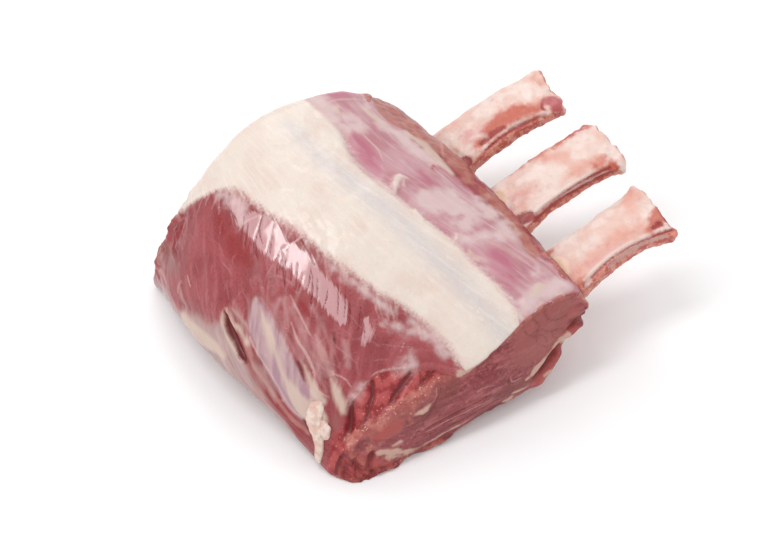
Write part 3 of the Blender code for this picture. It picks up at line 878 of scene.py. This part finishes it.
def closed_mesh(name, points, fields):
    """A closed mesh object over rings of points in metres, with a fan over each end and named fields."""
    rings, sides = points.shape[:2]
    ring = np.arange(sides)
    after = (ring + 1) % sides
    start = (np.arange(rings - 1) * sides)[:, None]
    quads = np.stack([start + ring, start + after, start + sides + after, start + sides + ring], -1)
    faces = [tuple(face) for face in quads.reshape(-1, 4)]
    for row, centre, turn in ((0, rings * sides, 1), (rings - 1, rings * sides + 1, -1)):
        fan = np.stack([row * sides + after, row * sides + ring, np.full(sides, centre)], -1)
        faces += [tuple(face) for face in fan[:, ::turn]]
    mesh = bpy.data.meshes.new(name)
    mesh.from_pydata(with_ends(points).tolist(), [], faces)
    for field, values in fields.items():
        kind, holder = ("FLOAT", "value") if values.ndim == 2 else ("FLOAT_VECTOR", "vector")
        attribute = mesh.attributes.new(field, kind, "POINT")
        attribute.data.foreach_set(holder, with_ends(values).astype(np.float32).ravel())
    mesh.shade_smooth()
    made = bpy.data.objects.new(name, mesh)
    bpy.context.scene.collection.objects.link(made)
    return made


# ================================================================ shader building
GLOW_WEIGHT, GLOW_SCALE = 0.15, 1.0 * MM  # how much light goes below the surface, and how far


class Look:
    """A material's node tree, built a line at a time. A colour is a socket or 0 to 255 screen values."""

    def __init__(self, name):
        self.material = bpy.data.materials.new(name)
        self.material.use_nodes = True
        self.tree = self.material.node_tree
        self.shader = self.tree.nodes["Principled BSDF"]
        self.place = self.tree.nodes.new("ShaderNodeTexCoord").outputs["Object"]

    def node(self, kind, settings=(), **inputs):
        """A node with its settings, and inputs given by name, or by number as i0, i1 and so on."""
        made = self.tree.nodes.new(kind)
        for name, value in dict(settings).items():
            setattr(made, name, value)
        for name, value in inputs.items():
            self.set(made.inputs[int(name[1:]) if name[1:].isdigit() else name.replace("_", " ")], value)
        return made

    def set(self, socket, value):
        if isinstance(value, bpy.types.NodeSocket):
            self.tree.links.new(value, socket)
        else:
            socket.default_value = value

    def times(self, a, b, plus=0.0):
        """a times b, plus another value."""
        return self.node("ShaderNodeMath", {"operation": "MULTIPLY_ADD"}, i0=a, i1=b, i2=plus).outputs[0]

    def field(self, name, output="Fac"):
        return self.node("ShaderNodeAttribute", {"attribute_name": name}).outputs[output]

    def scaled(self, vector, by):
        return self.node("ShaderNodeVectorMath", {"operation": "MULTIPLY"}, i0=vector, i1=by).outputs[0]

    def noise(self, vector, size, detail, roughness=0.5, distortion=0.0):
        """Noise from 0 to 1 about features of a size given in the vector's own unit."""
        return self.node(
            "ShaderNodeTexNoise", (), Vector=vector, Scale=1 / size, Detail=detail, Roughness=roughness,
            Distortion=distortion,
        ).outputs["Fac"]

    def step(self, low, high, value):
        return self.node(
            "ShaderNodeMapRange", {"interpolation_type": "SMOOTHSTEP"},
            Value=value, From_Min=low, From_Max=high, To_Min=0.0, To_Max=1.0,
        ).outputs["Result"]

    def blend(self, factor, a, b):
        return self.node("ShaderNodeMix", {"data_type": "FLOAT"}, i0=factor, i2=a, i3=b).outputs[0]

    def mix(self, factor, a, b, kind="MIX"):
        """Colour a where factor is 0 and b where it is 1, or a multiplied by b there."""
        a, b = (tone if isinstance(tone, bpy.types.NodeSocket) else linear(*tone) for tone in (a, b))
        return self.node(
            "ShaderNodeMix", {"data_type": "RGBA", "blend_type": kind}, i0=factor, i6=a, i7=b
        ).outputs[2]

    def grade(self, value, low, high, a, b, kind="MIX", opacity=1.0):
        """One colour where a value is below low, turning to another above high."""
        factor = self.step(low, high, value)
        return self.mix(self.times(factor, opacity) if opacity != 1 else factor, a, b, kind)

    def inside(self, field, soft, breaker, amount, opacity=1.0):
        """0 to 1 where a field is positive, with its edge broken by noise; amount and soft are in mm."""
        shifted = self.times(breaker, 2 * amount, -amount)
        edge = self.step(-soft, soft, self.times(self.field(field), 1.0, shifted))
        return self.times(edge, opacity) if opacity != 1 else edge

    def layers(self, under, *rows):
        """Paints fields over a colour in turn, each a row of what inside() takes and then its colour."""
        for *where, tone in rows:
            under = self.mix(self.inside(*where), under, tone)
        return under

    def finish(self, height, depth, **sockets):
        """Sets the shader's sockets; a height of 0 to 1 stands for a depth in metres."""
        bump = self.node("ShaderNodeBump", (), Strength=1.0, Distance=depth, Height=height)
        sockets |= {"Normal": bump.outputs["Normal"]}
        sockets |= {"Subsurface_Weight": GLOW_WEIGHT, "Subsurface_Scale": GLOW_SCALE}
        for name, value in sockets.items():
            self.set(self.shader.inputs[name.replace("_", " ")], value)
        return self.material


# ================================================================ the meat's material
def meat_look():
    look = Look("raw_meat")
    place, fibres = look.place, look.field("grain", "Vector")
    coarse = look.noise(place, 9 * MM, 2)
    middle = look.noise(place, 2.6 * MM, 3)
    fine = look.noise(place, 0.7 * MM, 3, 0.6)
    streak = look.noise(look.scaled(fibres, (1.0, 0.12, 1.0)), 1.6, 3, 0.55)
    thread = look.noise(look.scaled(fibres, (1.0, 0.05, 1.0)), 0.45, 2, 0.5)
    wisps = look.noise(look.scaled(fibres, (1.0, 0.35, 1.0)), 0.7, 4, 0.7, 1.2)
    grains = look.noise(place, 0.9 * MM, 4, 0.65)
    bands = look.noise(look.scaled(place, (0.22, 1.0, 1.0)), 1.5 * MM, 4, 0.6)

    # red muscle of the chine side
    colour = look.grade(coarse, 0.35, 0.68, (140, 56, 60), (156, 70, 74))
    colour = look.grade(streak, 0.42, 0.78, colour, (168, 88, 92))
    colour = look.layers(colour, ("rich", 1.6, streak, 1.4, 0.85, (142, 38, 40)))
    colour = look.grade(fine, 0.48, 0.70, colour, (228, 206, 206), "MULTIPLY")
    colour = look.grade(fine, 0.66, 0.76, colour, (190, 126, 128))

    # cap muscle, the underside, the membranes, the dried strips, the raw flesh and the crumbly rim
    cap = look.grade(coarse, 0.35, 0.65, (178, 120, 128), (188, 142, 148))
    cap = look.grade(streak, 0.45, 0.75, cap, (198, 162, 168))
    cap = look.layers(cap, ("purple", 1.6, streak, 1.6, 0.85, (176, 98, 118)))
    under = look.grade(coarse, 0.40, 0.70, (156, 78, 76), (176, 112, 106))
    under = look.grade(middle, 0.55, 0.80, under, (196, 152, 144))
    pale = look.grade(streak, 0.40, 0.62, (182, 157, 149), (164, 132, 137))
    pale = look.grade(coarse, 0.50, 0.70, pale, (174, 134, 130))
    dry = look.grade(middle, 0.40, 0.65, (160, 88, 78), (176, 112, 100))
    raw = look.grade(middle, 0.36, 0.60, (138, 36, 42), (174, 74, 74))
    raw = look.grade(fine, 0.60, 0.72, raw, (204, 136, 124))
    membrane = look.grade(streak, 0.38, 0.62, (172, 138, 150), (190, 162, 162))
    crumbs = look.grade(middle, 0.40, 0.66, (160, 78, 72), (184, 112, 100))
    crumbs = look.grade(fine, 0.60, 0.68, crumbs, (226, 192, 174))
    colour = look.layers(colour, ("cap", 1.2, middle, 1.5, cap))
    colour = look.mix(look.field("under"), colour, under)
    colour = look.layers(
        colour,
        ("pale", 1.8, streak, 3.0, 0.9, pale),
        ("brown", 1.3, middle, 1.6, 0.85, (142, 82, 78)),
        ("dry", 0.9, middle, 1.6, 0.95, dry),
        ("torn", 0.3, middle, 0.6, raw),
        ("haze", 2.0, middle, 2.6, 0.75, (212, 190, 188)),
        ("wide", 0.9, streak, 0.9, 0.32, (202, 172, 170)),
        ("membrane", 0.7, streak, 1.2, 0.85, membrane),
        # painted highlight: the wet film's pale pink is partly its own colour and partly the softbox's
        # reflection
        ("film_and_highlight", 0.45, thread, 1.8, 0.62, (212, 170, 172)),
        ("strip", 0.45, middle, 0.6, 0.4, (200, 158, 150)),
        ("cream", 0.8, streak, 1.0, 0.8, (205, 182, 167)),
        # painted shade in the slits, the notch and the folds
        ("painted_shade", 0.5, middle, 0.5, (110, 32, 34)),
        ("orange", 0.4, middle, 0.8, 0.9, crumbs),
        # painted shade: the creases darker than the red around them
        ("crease", 0.16, thread, 0.2, 0.85, (136, 46, 50)),
    )

    # silverskin: cream, bluish towards its right, with fibres that fray into the red along its left
    tone = look.grade(coarse, 0.40, 0.66, (221, 207, 196), (217, 198, 187))
    tone = look.layers(tone, ("blue", 3.0, streak, 1.2, 0.75, (200, 192, 192)))
    tone = look.grade(streak, 0.45, 0.72, tone, (226, 214, 204), opacity=0.6)
    tone = look.grade(wisps, 0.54, 0.74, tone, (234, 224, 215), opacity=0.6)
    tone = look.grade(fine, 0.56, 0.78, tone, (248, 242, 238), "MULTIPLY")
    dissolve = look.times(streak, 0.5, look.times(fine, 0.5))
    colour = look.layers(
        colour,
        ("silver", 2.2, dissolve, 4.0, 0.5, (206, 176, 174)),
        ("silver", 1.6, dissolve, 2.6, tone),
        ("fray", 0.40, fine, 0.3, 0.35, (222, 198, 190)),
        ("thin", 0.25, fine, 0.14, 0.18, (216, 182, 182)),
        ("line", 0.22, fine, 0.2, 0.45, (216, 186, 180)),
        ("knob", 0.8, middle, 1.2, 0.8, (222, 206, 196)),
    )

    # cut faces: fine close grain, with a ragged dark foot, partly painted shade by the floor
    foot = look.grade(middle, 0.40, 0.62, (132, 40, 40), (166, 72, 68))
    foot = look.grade(fine, 0.60, 0.72, foot, (192, 112, 102))
    cut = look.grade(coarse, 0.36, 0.66, (130, 54, 60), (150, 72, 76))
    cut = look.grade(bands, 0.46, 0.66, cut, (166, 92, 92))
    cut = look.grade(grains, 0.58, 0.74, cut, (180, 112, 110))
    cut = look.grade(grains, 0.46, 0.34, cut, (206, 176, 176), "MULTIPLY")
    cut = look.layers(
        cut,
        ("tan", 2.0, middle, 2.6, 0.75, (158, 86, 80)),
        ("brown", 1.2, middle, 1.2, 0.6, (118, 54, 50)),
        ("pink", 0.8, middle, 1.0, (164, 76, 72)),
        # painted shade in the grooves between the bundles
        ("seam", 0.28, fine, 0.25, 0.7, (96, 40, 38)),
        # painted shade in the gaps and along the foot
        ("painted_shade", 0.5, middle, 0.8, 0.75, (122, 34, 34)),
        # the foot is partly the meat's own dark red and partly painted shade by the floor
        ("foot", 0.5, middle, 1.0, 0.95, foot),
        ("orange", 0.6, middle, 1.1, 0.7, crumbs),
        ("cream", 0.4, middle, 1.0, 0.85, (202, 168, 152)),
        ("line", 0.15, fine, 0.15, 0.6, (196, 144, 134)),
    )
    is_cut = look.step(0.35, 0.75, look.field("cut"))
    colour = look.mix(is_cut, colour, cut)

    # how wet it is, and its finest relief
    film_and_highlight = look.inside("film_and_highlight", 0.45, thread, 1.8)
    crease = look.inside("crease", 0.16, thread, 0.2)
    silver = look.inside("silver", 1.6, dissolve, 2.6)
    wet = look.blend(film_and_highlight, look.times(middle, 0.16, 0.30), look.times(crease, 0.3, 0.14))
    wet = look.blend(silver, wet, look.times(fine, 0.2, 0.36))
    wet = look.blend(is_cut, wet, look.times(middle, 0.3, 0.32))
    coat = look.blend(silver, look.times(film_and_highlight, 0.85, 0.10), 0.30)
    height = look.times(streak, 0.30, look.times(thread, 0.22))
    height = look.times(height, look.times(film_and_highlight, -0.9, 1.0))
    height = look.times(fine, look.times(film_and_highlight, -0.3, 0.4), height)
    height = look.times(crease, -1.6, height)
    height = look.times(is_cut, look.times(bands, 1.0, grains), height)
    return look.finish(
        height, 0.14 * MM, Base_Color=colour, Roughness=wet, Subsurface_Radius=(1.0, 0.35, 0.25),
        Specular_IOR_Level=0.35, Coat_Weight=look.blend(is_cut, coat, 0.06), Coat_Roughness=0.10,
    )


def make_meat():
    block = Block()
    fields = block_fields(block)
    across, along = grain(block)
    height = block_relief(block, fields, across, along)
    points = block.points + block.normals() * height[..., None]
    points[..., 2] = np.maximum(points[..., 2], 0)
    fields["grain"] = np.stack([across, along, np.zeros_like(across)], axis=-1)
    place = np.array(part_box("meat")[0]) - block.flat().min(axis=0) * MM
    made = closed_mesh("meat_flesh", points * MM + place, fields)
    made.data.materials.append(meat_look())
    return made, place


# Loose strands on the block: knots of (place, share, half width, half thickness, lift), the last three
# in mm.
CORDS = {
    "tendon": (
        (1.05, 0.075, 0.7, 0.5, 0), (1.3, 0.062, 1, 0.7, 0.3), (1.7, 0.055, 1.2, 0.9, 0.5),
        (2, 0.06, 1.3, 1, 0.6), (2.25, 0.078, 1.7, 1.2, 0.6), (2.42, 0.098, 2.1, 1.2, 0.5),
        (2.6, 0.11, 2.3, 1.1, 0.4), (2.78, 0.118, 1.7, 0.9, 0.2), (2.88, 0.122, 0.6, 0.5, 0),
    ),
    "tendon_knot": (
        (2.18, 0.048, 0.7, 0.6, 0.2), (2.3, 0.056, 1.4, 1, 0.5), (2.45, 0.07, 1.5, 1, 0.6),
        (2.55, 0.084, 0.8, 0.6, 0.4),
    ),
}
CORD_AROUND, CORD_ALONG = 40, 120
CORD_SEED, CORD_SEED_STEP = 80, 5


def make_cord(name, knots, seed, look, place):
    """A strand of tendon lying on the block, lumpy towards its thick end."""
    knots = np.asarray(knots, float)
    order = np.arange(len(knots))
    around, share, wide, thick, lift = through(
        np.column_stack([order, knots]), np.linspace(0, len(knots) - 1, CORD_ALONG)
    ).T
    centre = block_point(around, share)
    step = 0.01
    round_way = block_point(around + step, share) - block_point(around - step, share)
    long_way = block_point(around, share + step) - block_point(around, share - step)
    out = np.cross(round_way, long_way)
    out /= np.linalg.norm(out, axis=1, keepdims=True)
    side = np.cross(out, np.gradient(centre, axis=0))
    side /= np.linalg.norm(side, axis=1, keepdims=True)
    turn = np.linspace(0, 2 * math.pi, CORD_AROUND, endpoint=False)[None, :, None]
    points = (centre + out * lift[:, None])[:, None] + (
        np.cos(turn) * (side * wide[:, None])[:, None] + np.sin(turn) * (out * thick[:, None])[:, None]
    )
    flat = points.reshape(-1, 3)
    lumps = noise(flat, 1.6, seed) * 0.35 + noise(flat, 0.8, seed + 1) * 0.16
    lumpy = smooth(0.3, 0.6, np.linspace(0, 1, CORD_ALONG))[:, None] * 0.9 + 0.1
    outward = points - points.mean(axis=1, keepdims=True)
    outward /= np.maximum(np.linalg.norm(outward, axis=-1, keepdims=True), 1e-6)
    points = points + outward * (lumps.reshape(points.shape[:2]) * lumpy)[..., None]
    made = closed_mesh(name, points * MM + place, {})
    made.data.materials.append(look)
    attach(made, "root")
    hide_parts("meat")


def tendon_look():
    look = Look("raw_tendon")
    middle = look.noise(look.place, 1.8 * MM, 3)
    fine = look.noise(look.place, 0.5 * MM, 3, 0.6)
    colour = look.grade(middle, 0.38, 0.62, (224, 204, 192), (210, 174, 160))
    colour = look.grade(fine, 0.60, 0.72, colour, (236, 222, 208))
    return look.finish(fine, 0.2 * MM, Base_Color=colour, Roughness=0.38, Subsurface_Radius=(1.0, 0.6, 0.4))


# ================================================================ the ribs
RIB_AROUND, RIB_ALONG, RIB_END_STEPS = 112, 96, 7
RIB_HIDDEN = 4.0  # how far a shown rib reaches back into the meat
RIB_CAP, RIB_CAP_SIZE = 1.0, 0.90  # how far the rounded end goes on past the shaft, and its size there
RIB_SEED, RIB_SEED_STEP = 40, 10


def rib_frame(name, run):
    """Centre, across and up of a rib at runs past the wall, with its width there."""
    length, yaw, widths = RIBS[name]
    turn = math.radians(yaw)
    along = np.array((math.cos(turn), math.sin(turn), 0))
    across = np.array((-math.sin(turn), math.cos(turn), 0))
    upright = np.array((0, 0, 1.0))
    run = np.asarray(run, float)[..., None]
    slope = RIB_EXIT_SLOPE - np.maximum(run, 0) / RIB_ARC_RADIUS
    hidden = np.minimum(run, 0)
    out = RIB_ARC_RADIUS * (math.sin(RIB_EXIT_SLOPE) - np.sin(slope)) + hidden * math.cos(RIB_EXIT_SLOPE)
    rise = RIB_ARC_RADIUS * (np.cos(slope) - math.cos(RIB_EXIT_SLOPE)) + hidden * math.sin(RIB_EXIT_SLOPE)
    y = FIRST_RIB_Y + RIB_PITCH * list(RIBS).index(name)
    centre = np.array((RIB_EXIT_X, y, RIB_EXIT_Z)) + out * along + rise * upright
    up = np.cos(slope) * upright - np.sin(slope) * along
    return centre, across, up, parabola(widths, np.clip(run[..., 0] / length, 0, 1))


def rib_point(name, run, angle, size=1.0):
    """Points of a rib's surface: angle 0 is its far edge, 90 its top, 180 its near edge, in degrees."""
    centre, across, up, width = rib_frame(name, run)
    turn = np.radians(angle)
    wide, high = (np.sign(side) * np.abs(side) ** (2 / RIB_OVAL) for side in (np.cos(turn), np.sin(turn)))
    size = np.asarray(size, float)
    return (
        centre
        + (wide * width * size / 2)[..., None] * across
        + (high * RIB_THICKNESS * size / 2)[..., None] * up
    )


def bone_look():
    look = Look("raw_bone")
    place = look.place
    coarse = look.noise(place, 6 * MM, 3)
    middle = look.noise(place, 2.2 * MM, 3, 0.6)
    fine = look.noise(place, 0.6 * MM, 3, 0.6)
    side = look.grade(middle, 0.42, 0.58, (176, 78, 64), (208, 138, 118))
    side = look.grade(fine, 0.60, 0.68, side, (222, 186, 172))
    colour = look.grade(coarse, 0.40, 0.62, (226, 205, 196), (222, 186, 174))
    colour = look.grade(middle, 0.52, 0.75, colour, (232, 216, 208))
    colour = look.layers(
        colour,
        ("flush", 2.2, coarse, 2.4, 0.7, (214, 146, 128)),
        ("rose", 1.6, middle, 2.6, 0.7, (212, 154, 150)),
        ("side", 0.5, middle, 0.8, side),
        ("rust", 1.4, middle, 2.4, 0.85, (188, 82, 58)),
        ("grey", 0.5, middle, 0.8, 0.85, (184, 148, 142)),
        ("blood", 0.35, fine, 0.7, 0.9, (150, 38, 36)),
        ("plum", 0.8, middle, 1.6, 0.85, (178, 76, 84)),
        ("cream", 0.3, fine, 0.4, 0.9, (224, 190, 164)),
        ("white", 0.7, middle, 1.2, 0.6, (232, 214, 206)),
    )
    return look.finish(
        look.times(fine, 0.6, middle), 0.25 * MM, Base_Color=colour, Roughness=look.times(middle, 0.3, 0.28),
        Subsurface_Radius=(1.0, 0.5, 0.35), Coat_Weight=0.15, Coat_Roughness=0.15,
    )


# Marks on the ribs: a knot is (run past the wall in mm, angle round the rib in degrees, radius in mm).
RIB_UNDERSIDE = ((8, 250, 3), (20, 260, 4), (31, 250, 3))
RIB_MARKS = {
    "rib_1": {
        "flush": (
            ((6, 120, 2.4), (10, 112, 2.4), (16, 112, 2.6), (22, 115, 2.4), (27, 110, 2)),
            ((29, 70, 2), (32, 40, 2)),
        ),
        "rust": (
            ((29, 128, 1.2), (32, 112, 2.2), (35, 100, 2.6)),
            ((3, 20, 2.5), (5, 45, 1.6)),
            ((6, 140, 1.4), (8, 135, 1)),
        ),
        "blood": (
            ((7, 150, 0.5), (12, 144, 0.35), (20, 141, 0.35), (28, 146, 0.4), (34, 149, 0.4)),
            ((30, 125, 0.6), (32, 122, 1)),
        ),
        "grey": (((15, 162, 0.4), (20, 157, 0.6), (26, 158, 0.6), (32, 163, 0.4)),),
        "rose": (((12, 118, 0.8), (20, 120, 1)), RIB_UNDERSIDE),
        "cream": (((5.6, 72, 0.9), (6.2, 84, 1.4), (5.8, 97, 0.8)),),
        "white": (
            ((8, 136, 0.4), (14, 132, 0.4), (22, 134, 0.4), (28, 138, 0.3)),
            ((9, 148, 0.5), (7.5, 152, 0.6)),
        ),
        "plum": (((8, 210, 1), (14, 215, 1.4)),),
    },
    "rib_2": {
        "flush": (
            ((21, 60, 1.6), (24, 85, 1.8)),
            ((20, 122, 1.2), (27, 118, 1.6), (32, 120, 1.2)),
            ((6, 100, 1.4), (9, 105, 1)),
        ),
        "rust": (
            ((12, 10, 1.6), (20, 15, 2.2), (24, 25, 1.2)),
            ((25, 45, 0.8), (28, 38, 1.4), (31, 22, 1.6)),
            ((34, 10, 1.6), (36, 30, 1.6)),
            ((30, 128, 0.8), (33, 122, 1)),
            ((31, 150, 1), (34, 146, 1.2)),
        ),
        "blood": (
            ((5.4, 122, 1), (7, 130, 1.7), (8.6, 142, 1.4), (9, 150, 0.8)),
            ((9, 149, 0.5), (16, 150, 0.45), (24, 151, 0.3), (33, 153, 0.5)),
            ((9, 166, 0.7), (16, 168, 0.7), (22, 174, 0.5), (33, 176, 0.7)),
        ),
        "grey": (((16, 160, 0.4), (20, 160, 0.8), (28, 160, 0.9), (32, 161, 0.6)),),
        "rose": (((12, 95, 1.2), (8, 90, 1)), RIB_UNDERSIDE),
        "cream": (((5.6, 58, 0.9), (6.4, 72, 1.7), (5.8, 86, 0.9)),),
        "white": (((12, 75, 1.4), (18, 82, 1.6)), ((10, 143, 0.4), (18, 143, 0.4), (26, 145, 0.3))),
        "plum": (((31, 30, 1.2), (34, 26, 1.6)),),
    },
    "rib_3": {
        "flush": (
            ((12, 118, 1), (18, 112, 1.2), (24, 108, 1.4), (30, 112, 1.4)),
            ((34, 60, 1.2), (35, 80, 1.2)),
            ((5, 30, 1.2), (9, 45, 1)),
        ),
        "rust": (((11, 122, 1.4), (15, 115, 1.8), (20, 108, 2.6), (25, 112, 2.4), (29, 128, 1.4)),),
        "blood": (
            ((5.8, 124, 0.7), (6.6, 138, 1), (6.2, 150, 0.8)),
            ((12, 126, 0.6), (16, 122, 0.9), (19, 124, 0.6)),
            ((12, 152, 0.4), (18, 147, 0.5), (24, 150, 0.5), (30, 158, 0.4)),
            ((31.4, 116, 0.3), (30.6, 130, 0.5), (31.2, 146, 0.4)),
        ),
        "grey": (((20, 141, 0.3), (24, 144, 0.5), (26, 146, 0.3)),),
        "rose": (((10, 95, 2), (14, 100, 1.6)), RIB_UNDERSIDE),
        "cream": (((6, 95, 0.5), (6.4, 102, 0.7)),),
        "white": (
            ((10, 100, 0.3), (12.5, 108, 0.8), (14.2, 118, 0.4)),
            ((29.5, 152, 0.8), (31.5, 150, 0.8)),
            ((30, 75, 1.6), (29, 95, 1.2)),
            ((16, 72, 1.6), (18, 84, 1.4)),
        ),
        "plum": (((32.5, 118, 1.2), (34, 132, 2.2), (34.5, 150, 1.6)),),
    },
}
RIB_SIDES = (
    ((5, 166, 0.5), (12, 160, 1), (20, 166, 1.4), (28, 166, 1.4), (34, 162, 1.6)),
    ((5, 190, 2), (20, 195, 2.6), (34, 190, 2.2)),
)


def make_rib(name, seed, look, place):
    """A bare rib with its scraped edges and stains, from inside the meat to its rounded end."""
    length = RIBS[name][0]
    rings = [(run, 1.0) for run in np.linspace(-RIB_HIDDEN, length, RIB_ALONG)]
    for turn in np.linspace(0, math.pi / 2, RIB_END_STEPS + 1)[1:]:
        rings.append((length + RIB_CAP * math.sin(turn), RIB_CAP_SIZE + (1 - RIB_CAP_SIZE) * math.cos(turn)))
    for size in np.linspace(1, 0.1, RIB_END_STEPS + 3)[1:]:
        rings.append((length + RIB_CAP, RIB_CAP_SIZE * size))
    run, size = np.array(rings).T[:, :, None]
    shape = (len(rings), RIB_AROUND)
    angle = np.broadcast_to(np.linspace(0, 360, RIB_AROUND, endpoint=False), shape)
    sheet = Sheet(rib_point(name, run, angle, size))
    flat = sheet.flat()
    fields = {}
    for field, marks in dict(RIB_MARKS[name], side=RIB_SIDES).items():
        depth = np.full(len(flat), OUTSIDE)
        add_marks(depth, flat, slice(None), partial(rib_point, name), marks)
        fields[field] = np.clip(depth.reshape(shape), -DEEPEST, DEEPEST)
    tip = smooth(length - 4, length, run)
    end = smooth(length + 0.4, length + RIB_CAP, run) * 2.0 - 1.2
    fields["rust"] = np.maximum(fields["rust"], end)

    def lumps(size, order):
        return noise(flat, size, seed + order).reshape(shape)

    def part(name, low, high):
        return smooth(low, high, fields[name])

    height = 0.50 * lumps(7, 0) + 0.20 * lumps(2.4, 1) + 0.04 * lumps(1, 2)
    height += tip * (0.9 * lumps(3.2, 3) + 0.4 * lumps(1.3, 4))
    meaty = smooth(-0.8, 0.5, np.maximum(fields["side"], fields["rust"]))
    height += meaty * (0.22 * lumps(1.6, 5) + 0.12 * lumps(0.8, 6))
    height -= 0.45 * part("blood", -0.5, 0.3)
    height += 0.35 * part("cream", -0.4, 0.5) + 0.2 * part("white", -0.5, 0.4)
    height -= 0.25 * part("grey", -0.6, 0.5)
    points = sheet.points + sheet.normals() * height[..., None]
    made = closed_mesh(name + "_bone", points * MM + place, fields)
    made.data.materials.append(look)
    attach(made, "root")
    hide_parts(name)


# ================================================================ stage
CAMERA_AZIMUTH, CAMERA_ELEVATION = math.radians(-32), math.radians(48)
CAMERA_DISTANCE, CAMERA_LENS = 0.8, 138.46
CAMERA_AIM = (40.66, 39.74, 15.0)  # in block coordinates
FLOOR_SIZE, VIEW_END = 6, 10  # in m
PAPER, PAPER_ROUGHNESS = (0.93, 0.93, 0.935, 1), 0.9
SKY, SKY_STRENGTH = (1, 1, 1, 1), 0.81
LIGHTS = {  # (place in m, power in W, (sloping side, level side) in m)
    "key": ((-0.40, 0.05, 0.80), 2.7, (0.66, 0.20)),  # its long shape shows in the wet film's highlights
    "back": ((0.38, 0.72, 0.82), 2.6, (0.8, 0.5)),
    "fill": ((0.15, -0.95, 0.75), 0.8, (0.9, 0.7)),
}


def add_light(name, place, power, sides):
    """A softbox aimed at the middle of the rack's underside; its second side lies level."""
    data = bpy.data.lights.new(name, "AREA")
    data.energy = power
    data.shape = "RECTANGLE"
    data.size_y, data.size = sides
    made = bpy.data.objects.new(name, data)
    made.location = place
    made.rotation_euler = (-Vector(place)).to_track_quat("-Z", "Y").to_euler()
    bpy.context.scene.collection.objects.link(made)


def make_stage(place):
    """The floor, the sky, the lights and the camera; place is where the block's own origin lies, in m."""
    scene = bpy.context.scene
    scene.view_settings.view_transform = "Standard"
    bpy.ops.mesh.primitive_plane_add(size=FLOOR_SIZE)
    floor = bpy.context.object
    floor.name = "floor"
    paper = Look("floor_paper")
    paper.set(paper.shader.inputs["Base Color"], PAPER)
    paper.set(paper.shader.inputs["Roughness"], PAPER_ROUGHNESS)
    floor.data.materials.append(paper.material)

    world = bpy.data.worlds.new("studio")
    world.use_nodes = True
    sky = world.node_tree.nodes["Background"].inputs
    sky["Color"].default_value = SKY
    sky["Strength"].default_value = SKY_STRENGTH
    scene.world = world
    for name, light in LIGHTS.items():
        add_light(name, *light)

    camera = bpy.data.objects.new("camera", bpy.data.cameras.new("camera"))
    camera.data.lens = CAMERA_LENS
    camera.data.clip_end = VIEW_END
    level = math.cos(CAMERA_ELEVATION)
    back = Vector((
        math.sin(CAMERA_AZIMUTH) * level, -math.cos(CAMERA_AZIMUTH) * level, math.sin(CAMERA_ELEVATION),
    ))
    camera.location = Vector(place) + Vector(CAMERA_AIM) * MM + back * CAMERA_DISTANCE
    camera.rotation_euler = back.to_track_quat("Z", "Y").to_euler()
    scene.collection.objects.link(camera)
    scene.camera = camera


def main():
    meat, place = make_meat()
    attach(meat, "root")
    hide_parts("meat")
    tendon = tendon_look()
    for number, (name, knots) in enumerate(CORDS.items()):
        make_cord(name, knots, CORD_SEED + CORD_SEED_STEP * number, tendon, place)
    bone = bone_look()
    for number, name in enumerate(RIBS):
        make_rib(name, RIB_SEED + RIB_SEED_STEP * number, bone, place)
    make_stage(place)


main()
